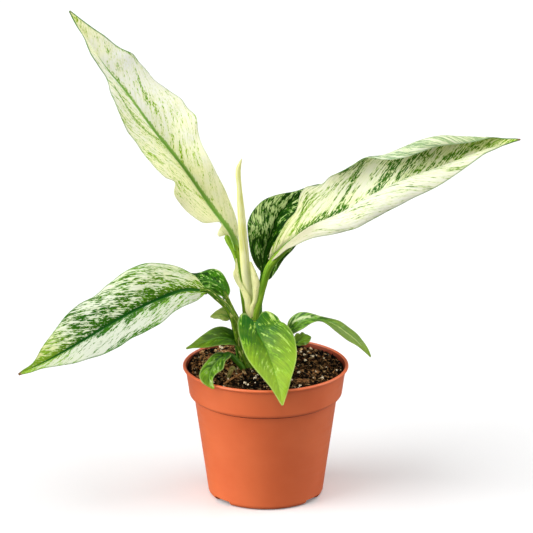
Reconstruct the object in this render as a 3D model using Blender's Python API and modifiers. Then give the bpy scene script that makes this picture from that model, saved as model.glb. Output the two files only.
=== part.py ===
"""A variegated peace lily in a plastic nursery pot.

World frame: +Z up, metres, origin on the floor at the pot's axis. The leaves
fan out along X. All the dimensions below are in millimetres.
"""
import math
from dataclasses import dataclass

import bmesh
import bpy
import numpy as np
from mathutils import Vector

MM = 0.001
GAP = 0.3                       # clearance between neighbours that touch

# Pot
POT_HEIGHT = 98.0
RIM_RADIUS = 60.0
LIP = 1.4                       # radius of the bead around the rim
BAND_TOP_RADIUS = 57.8
BAND_BOTTOM_RADIUS = 55.5
BAND_TOP_Z = POT_HEIGHT - 3.4   # the bead starts here
BAND_BOTTOM_Z = 78.0
STEP_ROUND = 3.4                # the band turns in under itself with this radius
STEP_Z = BAND_BOTTOM_Z - STEP_ROUND
BODY_TOP_RADIUS = 51.8
BODY_BOTTOM_RADIUS = 41.9
FOOT_ROUND = 4.0
FOOT_HEIGHT = 4.0               # the floor stands this far above the table
FOOT_INNER_RADIUS = 35.0
WALL = 1.6
POT_SIDES = 40
NOTCH_ANGLES = (-140.0, -34.0, 93.0)   # degrees from +X, seen from above
NOTCH_WIDTH = 16.0
NOTCH_HEIGHT = 3.4
NOTCH_DEPTH = 24.0              # a notch's cutter, along the pot's radius
DRAIN_COUNT = 6
DRAIN_RADIUS = 3.5
DRAIN_CIRCLE = 24.0

# Soil and crown
SOIL_EDGE_Z = 89.5
SOIL_CROWN_Z = 91.5
SOIL_FLAT_RADIUS = 20.0
SOIL_SHOULDER = 8.0             # the soil's top rounds off this far from the wall
CROWN_CENTRE = (-9.0, 1.0)
CROWN_RADIUS = 16.0
CROWN_TOP_Z = 93.0
CROWN_BOTTOM_Z = 80.0

# Litter: each bark chip's x, y, length, width and turn in degrees
BARK_THICKNESS = 1.6
BARK_CHIPS = ((-38, 12, 9, 4, 25), (-30, 26, 8, 5, -40), (36, -12, 6, 4, 70), (26, -32, 7, 4, 10),
              (-44, -6, 7, 3.5, 110))

# Leaves
BLADE_THICKNESS = 0.5
ARC_STEPS = 24                  # steps along each half of a blade's section
POINTS_PER_STATION = 2.2        # a stalk's curve has this many points a station
TAPER_POWER = 2.2               # a spear stays thick, then tapers to its tip


@dataclass(frozen=True)
class Finish:
    """Colour, roughness and metallic value of one material."""

    name: str
    colour: tuple
    roughness: float


TERRACOTTA = Finish("terracotta_plastic", (0.74, 0.24, 0.10), 0.45)
SOIL = Finish("potting_soil", (0.035, 0.020, 0.012), 0.95)
BARK = Finish("bark", (0.16, 0.08, 0.035), 0.90)
DEEP_GREEN = Finish("deep_green_leaf", (0.02, 0.13, 0.015), 0.45)
FRESH_GREEN = Finish("fresh_green_leaf", (0.14, 0.36, 0.03), 0.45)
CREAM = Finish("cream_leaf", (0.72, 0.74, 0.42), 0.50)
MARBLED = Finish("marbled_leaf", (0.34, 0.50, 0.22), 0.45)
STALK = Finish("stalk", (0.18, 0.36, 0.05), 0.45)
DRIED = Finish("dried_sheath", (0.22, 0.18, 0.07), 0.85)


@dataclass(frozen=True)
class Blade:
    """A leaf blade, lofted through stations from its stalk to its tip.

    Each station is the midrib's (x, y, z), then for the left and the right
    half its width, the angle at which it leaves the midrib and how far it
    curls back by its margin, in degrees. Left and right are as seen from
    above the leaf with its tip pointing away, and facing is the way that its
    upper side looks.
    """

    name: str
    finish: Finish
    facing: tuple
    stations: tuple
    across: int = 4
    along: int = 8
    base_round: float = 0.10
    lobe: float = 0.0


@dataclass(frozen=True)
class Stalk:
    """A round stem through route, in millimetres, from the crown up."""

    name: str
    radius: float
    route: tuple
    finish: Finish = STALK
    tip_radius: float = 0.0


BLADES = (
    Blade("leaf_tall", CREAM, (0.25, -0.84, 0.48), (
        (-20, 12, 180, 3, 40, 20, 2, 10, 10),
        (-26, 15, 192, 14, 60, 30, 9, 15, 30),
        (-40, 20, 211, 32, 52, 30, 18, 45, 40),
        (-59, 28, 237, 39, 57, 30, 23, 55, 45),
        (-81, 38, 263, 38, 53, 25, 32, 15, 45),
        (-99, 45, 287, 31, 55, 20, 32, -12, 35),
        (-115, 51, 306, 17, 63, 15, 20, 5, 25),
        (-128, 56, 325, 5, 50, 10, 10, 5, 10),
        (-140, 61, 345, 0.6, 20, 0, 0.6, 10, 0)),
        across=8, along=20, base_round=0.02),
    Blade("leaf_right", CREAM, (-0.3, -0.53, 0.79), (
        (5, -2, 173, 4, 60, 0, 3, 90, 60),
        (16, -3, 186, 15, 35, 0, 12, 85, 90),
        (34, -7, 203, 25, 25, -10, 24, 70, 120),
        (55, -8, 214, 28, 33, -30, 31, 58, 130),
        (77, -9, 227, 29, 15, -100, 38, 60, 130),
        (101, -9, 239, 36, 20, -200, 37, 60, 120),
        (127, -8, 250, 38, 25, -220, 26, 50, 90),
        (155, -6, 260, 17, 30, -180, 15, 55, 50),
        (181, -4, 268, 0.6, 0, 0, 0.6, 45, 0)),
        across=10, along=20, base_round=0.05),
    Blade("leaf_low", MARBLED, (-0.05, -0.66, 0.73), (
        (-42, -10, 157, 4, 20, 20, 3, 10, 20),
        (-60, -14, 158, 19, 30, 20, 20, 28, 35),
        (-83, -21, 151, 27, 30, 20, 29, 40, 45),
        (-107, -28, 140, 29, 33, 20, 26, 32, 45),
        (-130, -36, 128, 26, 35, 20, 22, 33, 30),
        (-152, -43, 117, 13, 30, 10, 12, 33, 10),
        (-176, -50, 107, 0.6, 30, 0, 0.6, 30, 0)),
        across=8, along=16, base_round=0.08),
    Blade("leaf_shaded", DEEP_GREEN, (0.15, -0.81, 0.57), (
        (-1, 12, 162, 4, 40, 20, 5, 38, 30),
        (0, 17, 176, 16, 47, 20, 17, 47, 30),
        (4, 22, 188, 27, 54, 30, 26, 52, 30),
        (10, 28, 202, 17, 32, 30, 28, 46, 30),
        (23, 36, 212, 6, 38, 30, 25, 34, 20),
        (41, 46, 215, 5, 14, 10, 16, 36, 10),
        (61, 56, 212, 0.6, 14, 0, 0.6, 30, 0)),
        across=6, along=14, base_round=0.08),
    Blade("leaf_tucked", DEEP_GREEN, (0.2, -0.53, 0.79), (
        (-28, 1, 148, 4, 20, 20, 3, 20, 30),
        (-32, 7, 155, 14, 10, 20, 6, 15, 40),
        (-41, 15, 157, 15, 10, 20, 11, 18, 40),
        (-53, 23, 156, 16, 8, 20, 12, -10, 30),
        (-65, 31, 152, 11, 15, 10, 9, 0, 20),
        (-79, 38, 145, 0.6, 25, 0, 0.6, 0, 0)),
        across=6, along=12),
    Blade("leaf_front", FRESH_GREEN, (0.0, -0.67, 0.74), (
        (-8, -13, 136, 11, 5, 30, 10, 15, 30),
        (-5, -22, 129, 21, 42, 35, 16, 30, 35),
        (0, -32, 121, 23, 22, 35, 19, 36, 35),
        (5, -46, 111.5, 18, 20, 30, 15, 34, 30),
        (9, -59, 101.5, 9, 20, 20, 7, 26, 20),
        (12, -68, 90, 0.6, 12, 0, 0.6, 14, 0)),
        across=6, along=12, lobe=6.0),
    Blade("leaf_arching", DEEP_GREEN, (-0.1, -0.39, 0.92), (
        (17, -8, 124, 8, 40, 20, 6, 28, 20),
        (26, -11, 134, 7, 27, 20, 10, 15, 30),
        (38, -12, 136, 2.5, 14, 20, 5, 26, 30),
        (51, -11, 132, 6, -4, 20, 8, 14, 30),
        (64, -9, 121, 7, -5, 10, 7, 14, 20),
        (76, -5, 105, 0.5, 25, 0, 0.5, 18, 0)),
        across=4, along=12),
    Blade("leaf_side", DEEP_GREEN, (0.0, -0.46, 0.88), (
        (-21, -5, 116, 5, 20, 20, 6, 28, 30),
        (-26, -8, 120, 10, 18, 20, 9, 22, 30),
        (-34, -12, 122, 10, 14, 20, 8, 22, 30),
        (-45, -17, 120, 7, 14, 10, 5, 20, 10),
        (-57, -22, 117, 0.5, 24, 0, 0.5, 20, 0))),
    Blade("leaf_drooping", DEEP_GREEN, (-0.2, -0.6, 0.77), (
        (-27, -14, 110, 5, 28, 20, 3, 32, 30),
        (-34, -24, 109, 7, 28, 20, 6, 36, 30),
        (-39, -36, 105, 9, 15, 20, 7, 30, 30),
        (-40, -46, 101, 3, 17, 10, 7, 30, 10),
        (-37, -52, 97, 0.5, 13, 0, 0.5, 17, 0)), along=10),
    Blade("leaf_pale", DEEP_GREEN, (0.0, -0.66, 0.75), (
        (-25, 2, 132, 4, 17, 20, 3, 27, 20),
        (-29, 3, 134, 6, 24, 20, 7, 24, 20),
        (-34, 4, 134, 4, 24, 10, 4, 20, 10),
        (-40, 5, 132, 0.5, 22, 0, 0.5, 20, 0)), along=6, base_round=0.15),
    Blade("leaf_tiny", FRESH_GREEN, (0.1, -0.55, 0.83), (
        (21, 13, 109, 3, 20, 20, 3, 20, 20),
        (25, 15, 110, 5, 35, 20, 4, 10, 50),
        (29, 17, 111, 4, 35, 20, 4, 0, 50),
        (33, 19, 112, 0.5, 20, 0, 0.5, 0, 0)), along=6, base_round=0.15),
    Blade("sheath_left", CREAM, (-0.3, -0.9, 0.3), (
        (-13.5, 2.6, 136.3, 1, 0, 0, 1, 0, 0),
        (-18, -1, 151.7, 3, 0, 30, 3, 0, 30),
        (-20, -3, 166.4, 4, 0, 40, 3, 0, 30),
        (-21, -3, 179.7, 0.5, 0, 0, 0.5, 0, 0))),
    Blade("sheath_right", CREAM, (0.3, -0.9, 0.3), (
        (-11.6, -3.4, 133.8, 1, 0, 20, 1, 0, 20),
        (-8, -7.6, 147, 3.5, 0, 20, 4, 0, 20),
        (-7, -7.6, 160, 3.5, 0, 20, 4, 0, 20),
        (-11, -3.5, 177.6, 0.5, 0, 0, 0.5, 0, 0))),
)

STALKS = (
    Stalk("stalk_tall", 3.0, ((-14.5, 10, 93.5), (-16, 10, 110), (-17, 9.5, 132),
                              (-18.5, 9, 151.5), (-18.5, 10.5, 168), (-20, 12, 179.5))),
    Stalk("stalk_right", 2.7, ((-4, -1.5, 93.6), (-6, -1.5, 110), (-7.7, -1.5, 133),
                               (-4.8, -1.5, 147), (-1.5, -1.5, 159), (4.6, -2, 172.6))),
    Stalk("stalk_shaded", 2.0, ((-2, 8, 93.4), (-2.5, 8, 130), (-1.5, 10, 147), (-1, 11.9, 161.6))),
    Stalk("stalk_low", 2.4, ((-10, -7, 93.9), (-12, -7, 101), (-16.4, -7, 114.5), (-20, -8, 126),
                             (-23.5, -9, 136), (-28.5, -10, 145), (-35, -10.5, 151.5),
                             (-41.2, -10, 156.6))),
    Stalk("stalk_tucked", 1.9, ((-16, 0, 93.4), (-16.5, -1, 112), (-20, -2, 130),
                                (-24.3, -1, 139.5), (-28, 0.8, 147.4))),
    Stalk("stalk_front", 1.5, ((-5, -10, 93.4), (-6, -11, 115), (-7.9, -12.6, 134.8))),
    Stalk("stalk_arching", 1.5, ((2, -6, 93.8), (5, -7, 105), (12, -7.5, 116), (16.7, -8, 123.6))),
    Stalk("stalk_side", 1.5, ((-16.5, -6.5, 93.7), (-19, -6, 105), (-20.7, -5.5, 115.2))),
    Stalk("stalk_drooping", 1.6, ((-14.5, -10, 94.2), (-19, -12, 102), (-26.2, -14, 109.6))),
    Stalk("stalk_pale", 1.1, ((-19, 4, 93.5), (-21.5, 4, 112), (-24.8, 2.3, 131.4))),
    Stalk("stalk_tiny", 1.1, ((3, 4, 94.1), (10, 8, 101), (20.5, 12.8, 108.7))),
    Stalk("new_leaf", 3.6, ((-8.5, 5.5, 93.4), (-9.2, 6, 115), (-9.8, 6, 133), (-11, 5, 146),
                            (-13.4, 3.5, 160.5), (-14.8, 2, 177.5), (-16.1, 2, 191),
                            (-17.3, 3.5, 209.5), (-18, 4.5, 221), (-19.2, 6, 234.7),
                            (-19.6, 7, 241), (-17.3, 8, 249)), CREAM, tip_radius=0.5),
)

TWIG = Stalk("twig", 1.0, ((-33, -36, 92.0), (-26, -30, 93.0), (-18, -24, 94.4)), BARK)

DRIED_SHEATH = Blade("dried_sheath", DRIED, (0.2, -0.4, 0.9), (
    (-23, -15, 92.2, 2, 10, 20, 2, 10, 20),
    (-26, -18, 97, 2.5, 10, 40, 2.5, 10, 40),
    (-25, -22, 96, 2, 10, 30, 2, 10, 30),
    (-23, -26, 92.0, 1, 0, 0, 1, 0, 0)), along=6, base_round=0.15)


def clear_scene() -> None:
    """Remove every object of the open file."""
    for obj in list(bpy.data.objects):
        bpy.data.objects.remove(obj, do_unlink=True)


def new_collection(name: str) -> bpy.types.Collection:
    """Add a collection to the scene."""
    group = bpy.data.collections.new(name)
    bpy.context.scene.collection.children.link(group)
    return group


def material(finish: Finish) -> bpy.types.Material:
    """Return the Principled material of a finish, made on first use."""
    found = bpy.data.materials.get(finish.name)
    if found:
        return found
    mat = bpy.data.materials.new(finish.name)
    mat.use_nodes = True
    shader = mat.node_tree.nodes["Principled BSDF"]
    shader.inputs["Base Color"].default_value = (*finish.colour, 1.0)
    shader.inputs["Roughness"].default_value = finish.roughness
    shader.inputs["Metallic"].default_value = 0.0
    return mat


def add_object(name: str, mesh: bpy.types.Mesh, group: bpy.types.Collection, finish: Finish = None):
    """Link a mesh as an object, with its finish if it has one."""
    obj = bpy.data.objects.new(name, mesh)
    group.objects.link(obj)
    if finish:
        mesh.materials.append(material(finish))
        mesh.shade_smooth()
        mesh.set_sharp_from_angle(angle=math.radians(40))
    return obj


def arc(centre: tuple, radius: float, start: float, end: float, steps: int) -> list:
    """Return points on an arc in the (radius, height) plane, in degrees."""
    angles = np.radians(np.linspace(start, end, steps))
    return [(centre[0] + radius * math.cos(a), centre[1] + radius * math.sin(a)) for a in angles]


def turned(name: str, profile: list, group, finish: Finish = None, sides: int = POT_SIDES):
    """Turn a (radius, height) profile about +Z with a Screw modifier."""
    mesh = bpy.data.meshes.new(name)
    points = [(r * MM, 0.0, z * MM) for r, z in profile]
    edges = [(i, i + 1) for i in range(len(points) - 1)]
    mesh.from_pydata(points, edges, [])
    obj = add_object(name, mesh, group)
    screw = obj.modifiers.new("Turn", "SCREW")
    screw.axis = "Z"
    screw.steps = sides
    screw.render_steps = sides
    screw.use_merge_vertices = True
    screw.merge_threshold = 0.0001 * MM
    screw.use_smooth_shade = True
    if finish:
        mesh.materials.append(material(finish))
    return obj


def cut(obj, cutter) -> None:
    """Cut one object with another, which stays as a hidden cutter."""
    cutter.hide_render = True
    cutter.display_type = "WIRE"
    step = obj.modifiers.new(cutter.name, "BOOLEAN")
    step.operation = "DIFFERENCE"
    step.solver = "EXACT"
    step.object = cutter


def band_outer() -> list:
    """Return the pot's outer side from the top of the lip to the foot."""
    lip_centre = (RIM_RADIUS - LIP, POT_HEIGHT - LIP)
    step_centre = (BAND_BOTTOM_RADIUS - STEP_ROUND, BAND_BOTTOM_Z)
    foot_centre = (BODY_BOTTOM_RADIUS - FOOT_ROUND, FOOT_ROUND)
    return (arc(lip_centre, LIP, 90, -65, 6)
            + [(BAND_TOP_RADIUS, BAND_TOP_Z)]
            + arc(step_centre, STEP_ROUND, 0, -90, 5)
            + [(BODY_TOP_RADIUS, STEP_Z - 0.4)]
            + arc(foot_centre, FOOT_ROUND, 0, -90, 4))


def inner_radius(z: float) -> float:
    """Return the radius of the pot's inner wall at a height."""
    slope = (BODY_TOP_RADIUS - BODY_BOTTOM_RADIUS) / (STEP_Z - FOOT_ROUND)
    if z < STEP_Z:
        return BODY_BOTTOM_RADIUS + slope * (z - FOOT_ROUND) - WALL
    share = (z - BAND_BOTTOM_Z) / (BAND_TOP_Z - BAND_BOTTOM_Z)
    return BAND_BOTTOM_RADIUS + share * (BAND_TOP_RADIUS - BAND_BOTTOM_RADIUS) - WALL


def on_circle(radius: float, angle: float, z: float) -> Vector:
    """Return a place on a circle about the pot's axis, in metres."""
    return Vector((radius * math.cos(angle), radius * math.sin(angle), z)) * MM


def make_pot(parts, cutters) -> None:
    """Make the pot: one moulded shell with a recessed floor."""
    floor_top = FOOT_HEIGHT + WALL
    underside = [(FOOT_INNER_RADIUS, 0.0), (FOOT_INNER_RADIUS, FOOT_HEIGHT), (0.0, FOOT_HEIGHT)]
    inside = [(0.0, floor_top), (inner_radius(floor_top), floor_top),
              (inner_radius(STEP_Z - 2.0), STEP_Z - 2.0),
              (inner_radius(STEP_Z + 1.0), STEP_Z + 1.5),
              (inner_radius(BAND_TOP_Z), BAND_TOP_Z)]
    lip_inner = arc((RIM_RADIUS - LIP, POT_HEIGHT - LIP), LIP, 180, 100, 3)
    pot = turned("pot", inside + lip_inner + band_outer() + underside, parts, TERRACOTTA)
    for index, degrees in enumerate(NOTCH_ANGLES):
        angle = math.radians(degrees)
        cutter = box("notch_cutter_%d" % index, (NOTCH_DEPTH, NOTCH_WIDTH, 2 * NOTCH_HEIGHT), cutters)
        cutter.location = on_circle(BODY_BOTTOM_RADIUS, angle, 0.0)
        cutter.rotation_euler = (0.0, 0.0, angle)
        cut(pot, cutter)
    for index in range(DRAIN_COUNT):
        angle = 2 * math.pi * (index + 0.5) / DRAIN_COUNT
        cutter = cylinder("drain_cutter_%d" % index, DRAIN_RADIUS, 4 * WALL, cutters, sides=12)
        cutter.location = on_circle(DRAIN_CIRCLE, angle, FOOT_HEIGHT + WALL / 2)
        cut(pot, cutter)


def box(name: str, size: tuple, group, finish: Finish = None):
    """Make a box of the given size in millimetres, centred on its origin."""
    mesh = bpy.data.meshes.new(name)
    shape = bmesh.new()
    bmesh.ops.create_cube(shape, size=1.0)
    bmesh.ops.scale(shape, vec=[s * MM for s in size], verts=shape.verts)
    shape.to_mesh(mesh)
    shape.free()
    return add_object(name, mesh, group, finish)


def cylinder(name: str, radius: float, length: float, group, sides: int = 16):
    """Make an upright closed cylinder, centred on its origin."""
    mesh = bpy.data.meshes.new(name)
    shape = bmesh.new()
    bmesh.ops.create_cone(shape, cap_ends=True, segments=sides, radius1=radius * MM,
                          radius2=radius * MM, depth=length * MM)
    shape.to_mesh(mesh)
    shape.free()
    return add_object(name, mesh, group)


def crown_lower_side(grow: float) -> list:
    """Return the crown's outline below its widest ring, grown by a margin."""
    radius = CROWN_RADIUS + grow
    return [(radius, CROWN_TOP_Z - 2.0), (0.9 * radius, CROWN_BOTTOM_Z + 5.0),
            (0.5 * radius, CROWN_BOTTOM_Z - grow), (0.0, CROWN_BOTTOM_Z - grow)]


def make_soil_and_crown(parts, cutters) -> None:
    """Make the root ball of soil and the crown that sits in a hollow of it."""
    floor = FOOT_HEIGHT + WALL + GAP
    side = [(inner_radius(z) - GAP, z) for z in (floor, STEP_Z - 3.0)]
    upper = [(inner_radius(STEP_Z - 2.0) - GAP, STEP_Z + 2.2),
             (inner_radius(SOIL_EDGE_Z) - GAP - 0.4, SOIL_EDGE_Z)]
    top = [(inner_radius(SOIL_EDGE_Z) - SOIL_SHOULDER, SOIL_EDGE_Z + 1.0),
           (SOIL_FLAT_RADIUS, SOIL_CROWN_Z), (0.0, SOIL_CROWN_Z)]
    profile = top[::-1] + upper[::-1] + side[::-1] + [(0.0, floor)]
    soil = turned("soil", profile, parts, SOIL)
    crown_top = [(0.0, CROWN_TOP_Z), (0.88 * CROWN_RADIUS, CROWN_TOP_Z)]
    crown = turned("rhizome", crown_top + crown_lower_side(0.0), parts, BARK, sides=20)
    above_soil = CROWN_TOP_Z + 10.0
    shaft_top = [(0.0, above_soil), (CROWN_RADIUS + GAP, above_soil)]
    pocket = turned("crown_pocket", shaft_top + crown_lower_side(GAP), cutters, sides=20)
    for obj in (crown, pocket):
        obj.location = (CROWN_CENTRE[0] * MM, CROWN_CENTRE[1] * MM, 0.0)
    cut(soil, pocket)


def soil_height(radius: float) -> float:
    """Return the height of the soil's top at a radius from the pot's axis."""
    edge = inner_radius(SOIL_EDGE_Z) - SOIL_SHOULDER
    share = (radius - SOIL_FLAT_RADIUS) / (edge - SOIL_FLAT_RADIUS)
    return SOIL_CROWN_Z - min(max(share, 0.0), 1.0) * (SOIL_CROWN_Z - SOIL_EDGE_Z - 1.0)


def smooth_rows(rows: tuple, t: np.ndarray) -> np.ndarray:
    """Run a Catmull-Rom curve through rows and read it at t from 0 to 1."""
    points = np.asarray(rows, dtype=float)
    padded = np.vstack([2 * points[0] - points[1], points, 2 * points[-1] - points[-2]])
    place = np.clip(t, 0.0, 1.0) * (len(points) - 1)
    index = np.minimum(place.astype(int), len(points) - 2)
    f = (place - index)[:, None]
    a, b, c, d = (padded[index + k] for k in range(4))
    return 0.5 * (2 * b + (c - a) * f + (2 * a - 5 * b + 4 * c - d) * f ** 2
                  + (3 * b - a - 3 * c + d) * f ** 3)


def half_section(width, lift, curl, share: float) -> tuple:
    """Return how far sideways and up a half blade is at a share of its width."""
    steps = (np.arange(ARC_STEPS) + 0.5) / ARC_STEPS * share
    angle = np.radians(lift)[:, None] - np.radians(curl)[:, None] * steps ** 2
    scale = width * share / ARC_STEPS
    return scale * np.cos(angle).sum(axis=1), scale * np.sin(angle).sum(axis=1)


def blade_surface(blade: Blade, t: np.ndarray, s: np.ndarray) -> np.ndarray:
    """Return blade points for t along the midrib and s from -1 to 1 across."""
    rows = smooth_rows(blade.stations, t)
    ahead = smooth_rows(blade.stations, np.clip(t + 0.001, 0, 1))[:, :3]
    behind = smooth_rows(blade.stations, np.clip(t - 0.001, 0, 1))[:, :3]
    along = (ahead - behind) / np.linalg.norm(ahead - behind, axis=1)[:, None]
    side = np.cross(along, np.array(blade.facing))
    side /= np.linalg.norm(side, axis=1)[:, None]
    up = np.cross(side, along)
    rounding = np.sqrt(1 - (1 - np.clip(t / blade.base_round, 0, 1)) ** 2)
    points = np.zeros((len(t), len(s), 3))
    for column, across in enumerate(s):
        width, lift, curl = rows[:, 3:6].T if across < 0 else rows[:, 6:9].T
        share = abs(across)
        rounded = np.maximum(width, 0.5) * np.maximum(rounding, 1.5 / np.maximum(width, 3.0))
        sideways, upwards = half_section(rounded, lift, curl, share)
        back = blade.lobe * share ** 2 * np.clip(1 - t / (3 * blade.base_round), 0, 1) ** 2
        points[:, column] = (rows[:, :3] + math.copysign(1, across) * sideways[:, None] * side
                             + upwards[:, None] * up - back[:, None] * along)
    return points


def make_blade(blade: Blade, parts) -> None:
    """Make a blade: a grid laid on its surface and given a thickness."""
    columns, rows = blade.across + 1, blade.along + 1
    shape = bmesh.new()
    bmesh.ops.create_grid(shape, x_segments=blade.across, y_segments=blade.along, size=1.0)
    even = np.linspace(0, 1, rows)
    closer_at_ends = (1 - np.cos(np.pi * even)) / 2
    surface = blade_surface(blade, (even + closer_at_ends) / 2, np.linspace(-1, 1, columns)) * MM
    for vert in shape.verts:
        column = round((vert.co.x + 1) / 2 * blade.across)
        row = round((vert.co.y + 1) / 2 * blade.along)
        vert.co = Vector(surface[row, column])
    mesh = bpy.data.meshes.new(blade.name)
    shape.to_mesh(mesh)
    shape.free()
    obj = add_object(blade.name, mesh, parts, blade.finish)
    skin = obj.modifiers.new("Thickness", "SOLIDIFY")
    skin.thickness = BLADE_THICKNESS * MM
    skin.offset = 0.0
    skin.use_even_offset = False


def make_stalk(stalk: Stalk, parts) -> None:
    """Make a round stem as a bevelled curve with filled caps."""
    count = int(POINTS_PER_STATION * len(stalk.route))
    points = smooth_rows(stalk.route, np.linspace(0, 1, count))
    curve = bpy.data.curves.new(stalk.name, "CURVE")
    curve.dimensions = "3D"
    curve.bevel_depth = stalk.radius * MM
    curve.bevel_resolution = 2
    curve.use_fill_caps = True
    spline = curve.splines.new("POLY")
    spline.points.add(count - 1)
    for index, (point, target) in enumerate(zip(spline.points, points)):
        share = index / (count - 1)
        point.co = (*[value * MM for value in target], 1.0)
        if stalk.tip_radius:
            slim = stalk.tip_radius / stalk.radius
            point.radius = slim + (1 - slim) * (1 - share ** TAPER_POWER)
    obj = bpy.data.objects.new(stalk.name, curve)
    parts.objects.link(obj)
    curve.materials.append(material(stalk.finish))


def make_litter(parts) -> None:
    """Lay the twig, the dried sheath and the bark chips on the soil."""
    make_stalk(TWIG, parts)
    make_blade(DRIED_SHEATH, parts)
    for index, (x, y, length, width, degrees) in enumerate(BARK_CHIPS):
        name = "bark_chip_%d" % (index + 1)
        chip = box(name, (length, width, BARK_THICKNESS), parts, BARK)
        height = soil_height(math.hypot(x, y)) + GAP + BARK_THICKNESS / 2
        chip.location = (x * MM, y * MM, height * MM)
        chip.rotation_euler = (0.0, 0.0, math.radians(degrees))
        edge = chip.modifiers.new("Worn edges", "BEVEL")
        edge.width = 0.5 * MM
        edge.segments = 1


def main() -> None:
    """Build the whole plant."""
    clear_scene()
    parts = new_collection("potted_peace_lily")
    cutters = new_collection("cutters")
    make_pot(parts, cutters)
    make_soil_and_crown(parts, cutters)
    for blade in BLADES:
        make_blade(blade, parts)
    for stalk in STALKS:
        make_stalk(stalk, parts)
    make_litter(parts)


main()
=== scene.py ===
"""Looks of a variegated peace lily in a terracotta-coloured plastic nursery pot.

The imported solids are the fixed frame. Each of them is replaced here by a piece with the plant's
real skin: veined and marbled leaf blades, channelled leaf stalks, crumbly potting soil and a
moulded pot. Stations and routes are in millimetres, meshes in metres and UV maps in centimetres.
"""

import logging
import math
import random
from collections.abc import Iterator
from contextlib import contextmanager
from dataclasses import dataclass
from enum import Enum
from functools import cache, reduce

import bpy
import numpy as np
from bpy.types import Material, Mesh, Node, NodeTree, Object
from bpy.types import NodeSocket as Socket
from mathutils import Matrix, Vector, noise


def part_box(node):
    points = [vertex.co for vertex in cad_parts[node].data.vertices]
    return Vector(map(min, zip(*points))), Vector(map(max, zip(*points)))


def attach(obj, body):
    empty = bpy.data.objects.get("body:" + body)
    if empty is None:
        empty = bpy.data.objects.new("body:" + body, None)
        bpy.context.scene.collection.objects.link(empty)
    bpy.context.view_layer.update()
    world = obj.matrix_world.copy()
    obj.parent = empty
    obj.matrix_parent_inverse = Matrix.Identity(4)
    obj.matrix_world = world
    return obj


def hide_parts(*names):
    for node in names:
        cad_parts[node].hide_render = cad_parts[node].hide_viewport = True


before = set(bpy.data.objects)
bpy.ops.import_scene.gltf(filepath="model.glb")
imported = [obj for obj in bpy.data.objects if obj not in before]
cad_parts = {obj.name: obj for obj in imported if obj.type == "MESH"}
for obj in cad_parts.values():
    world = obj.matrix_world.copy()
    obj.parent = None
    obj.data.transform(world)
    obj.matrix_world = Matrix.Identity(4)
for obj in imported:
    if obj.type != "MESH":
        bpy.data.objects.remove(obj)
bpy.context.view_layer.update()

LOG = logging.getLogger("peace_lily")
MM = 0.001
MM_PER_CM = 10
BODY = "root"
TURN = 2 * math.pi
WHITE = (1.0, 1.0, 1.0, 1.0)
Colour = tuple[float, float, float, float]
Array = np.ndarray


def linear(value: int) -> float:
    """Return the linear light of a screen value from 0 to 255."""
    share = value / 255
    return share / 12.92 if share <= 0.04045 else ((share + 0.055) / 1.055) ** 2.4


def paint(red: int, green: int, blue: int) -> Colour:
    """Return the linear colour, with an alpha of 1, of a screen colour from 0 to 255."""
    return (linear(red), linear(green), linear(blue), 1.0)


# ---- Shader building ----

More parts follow.
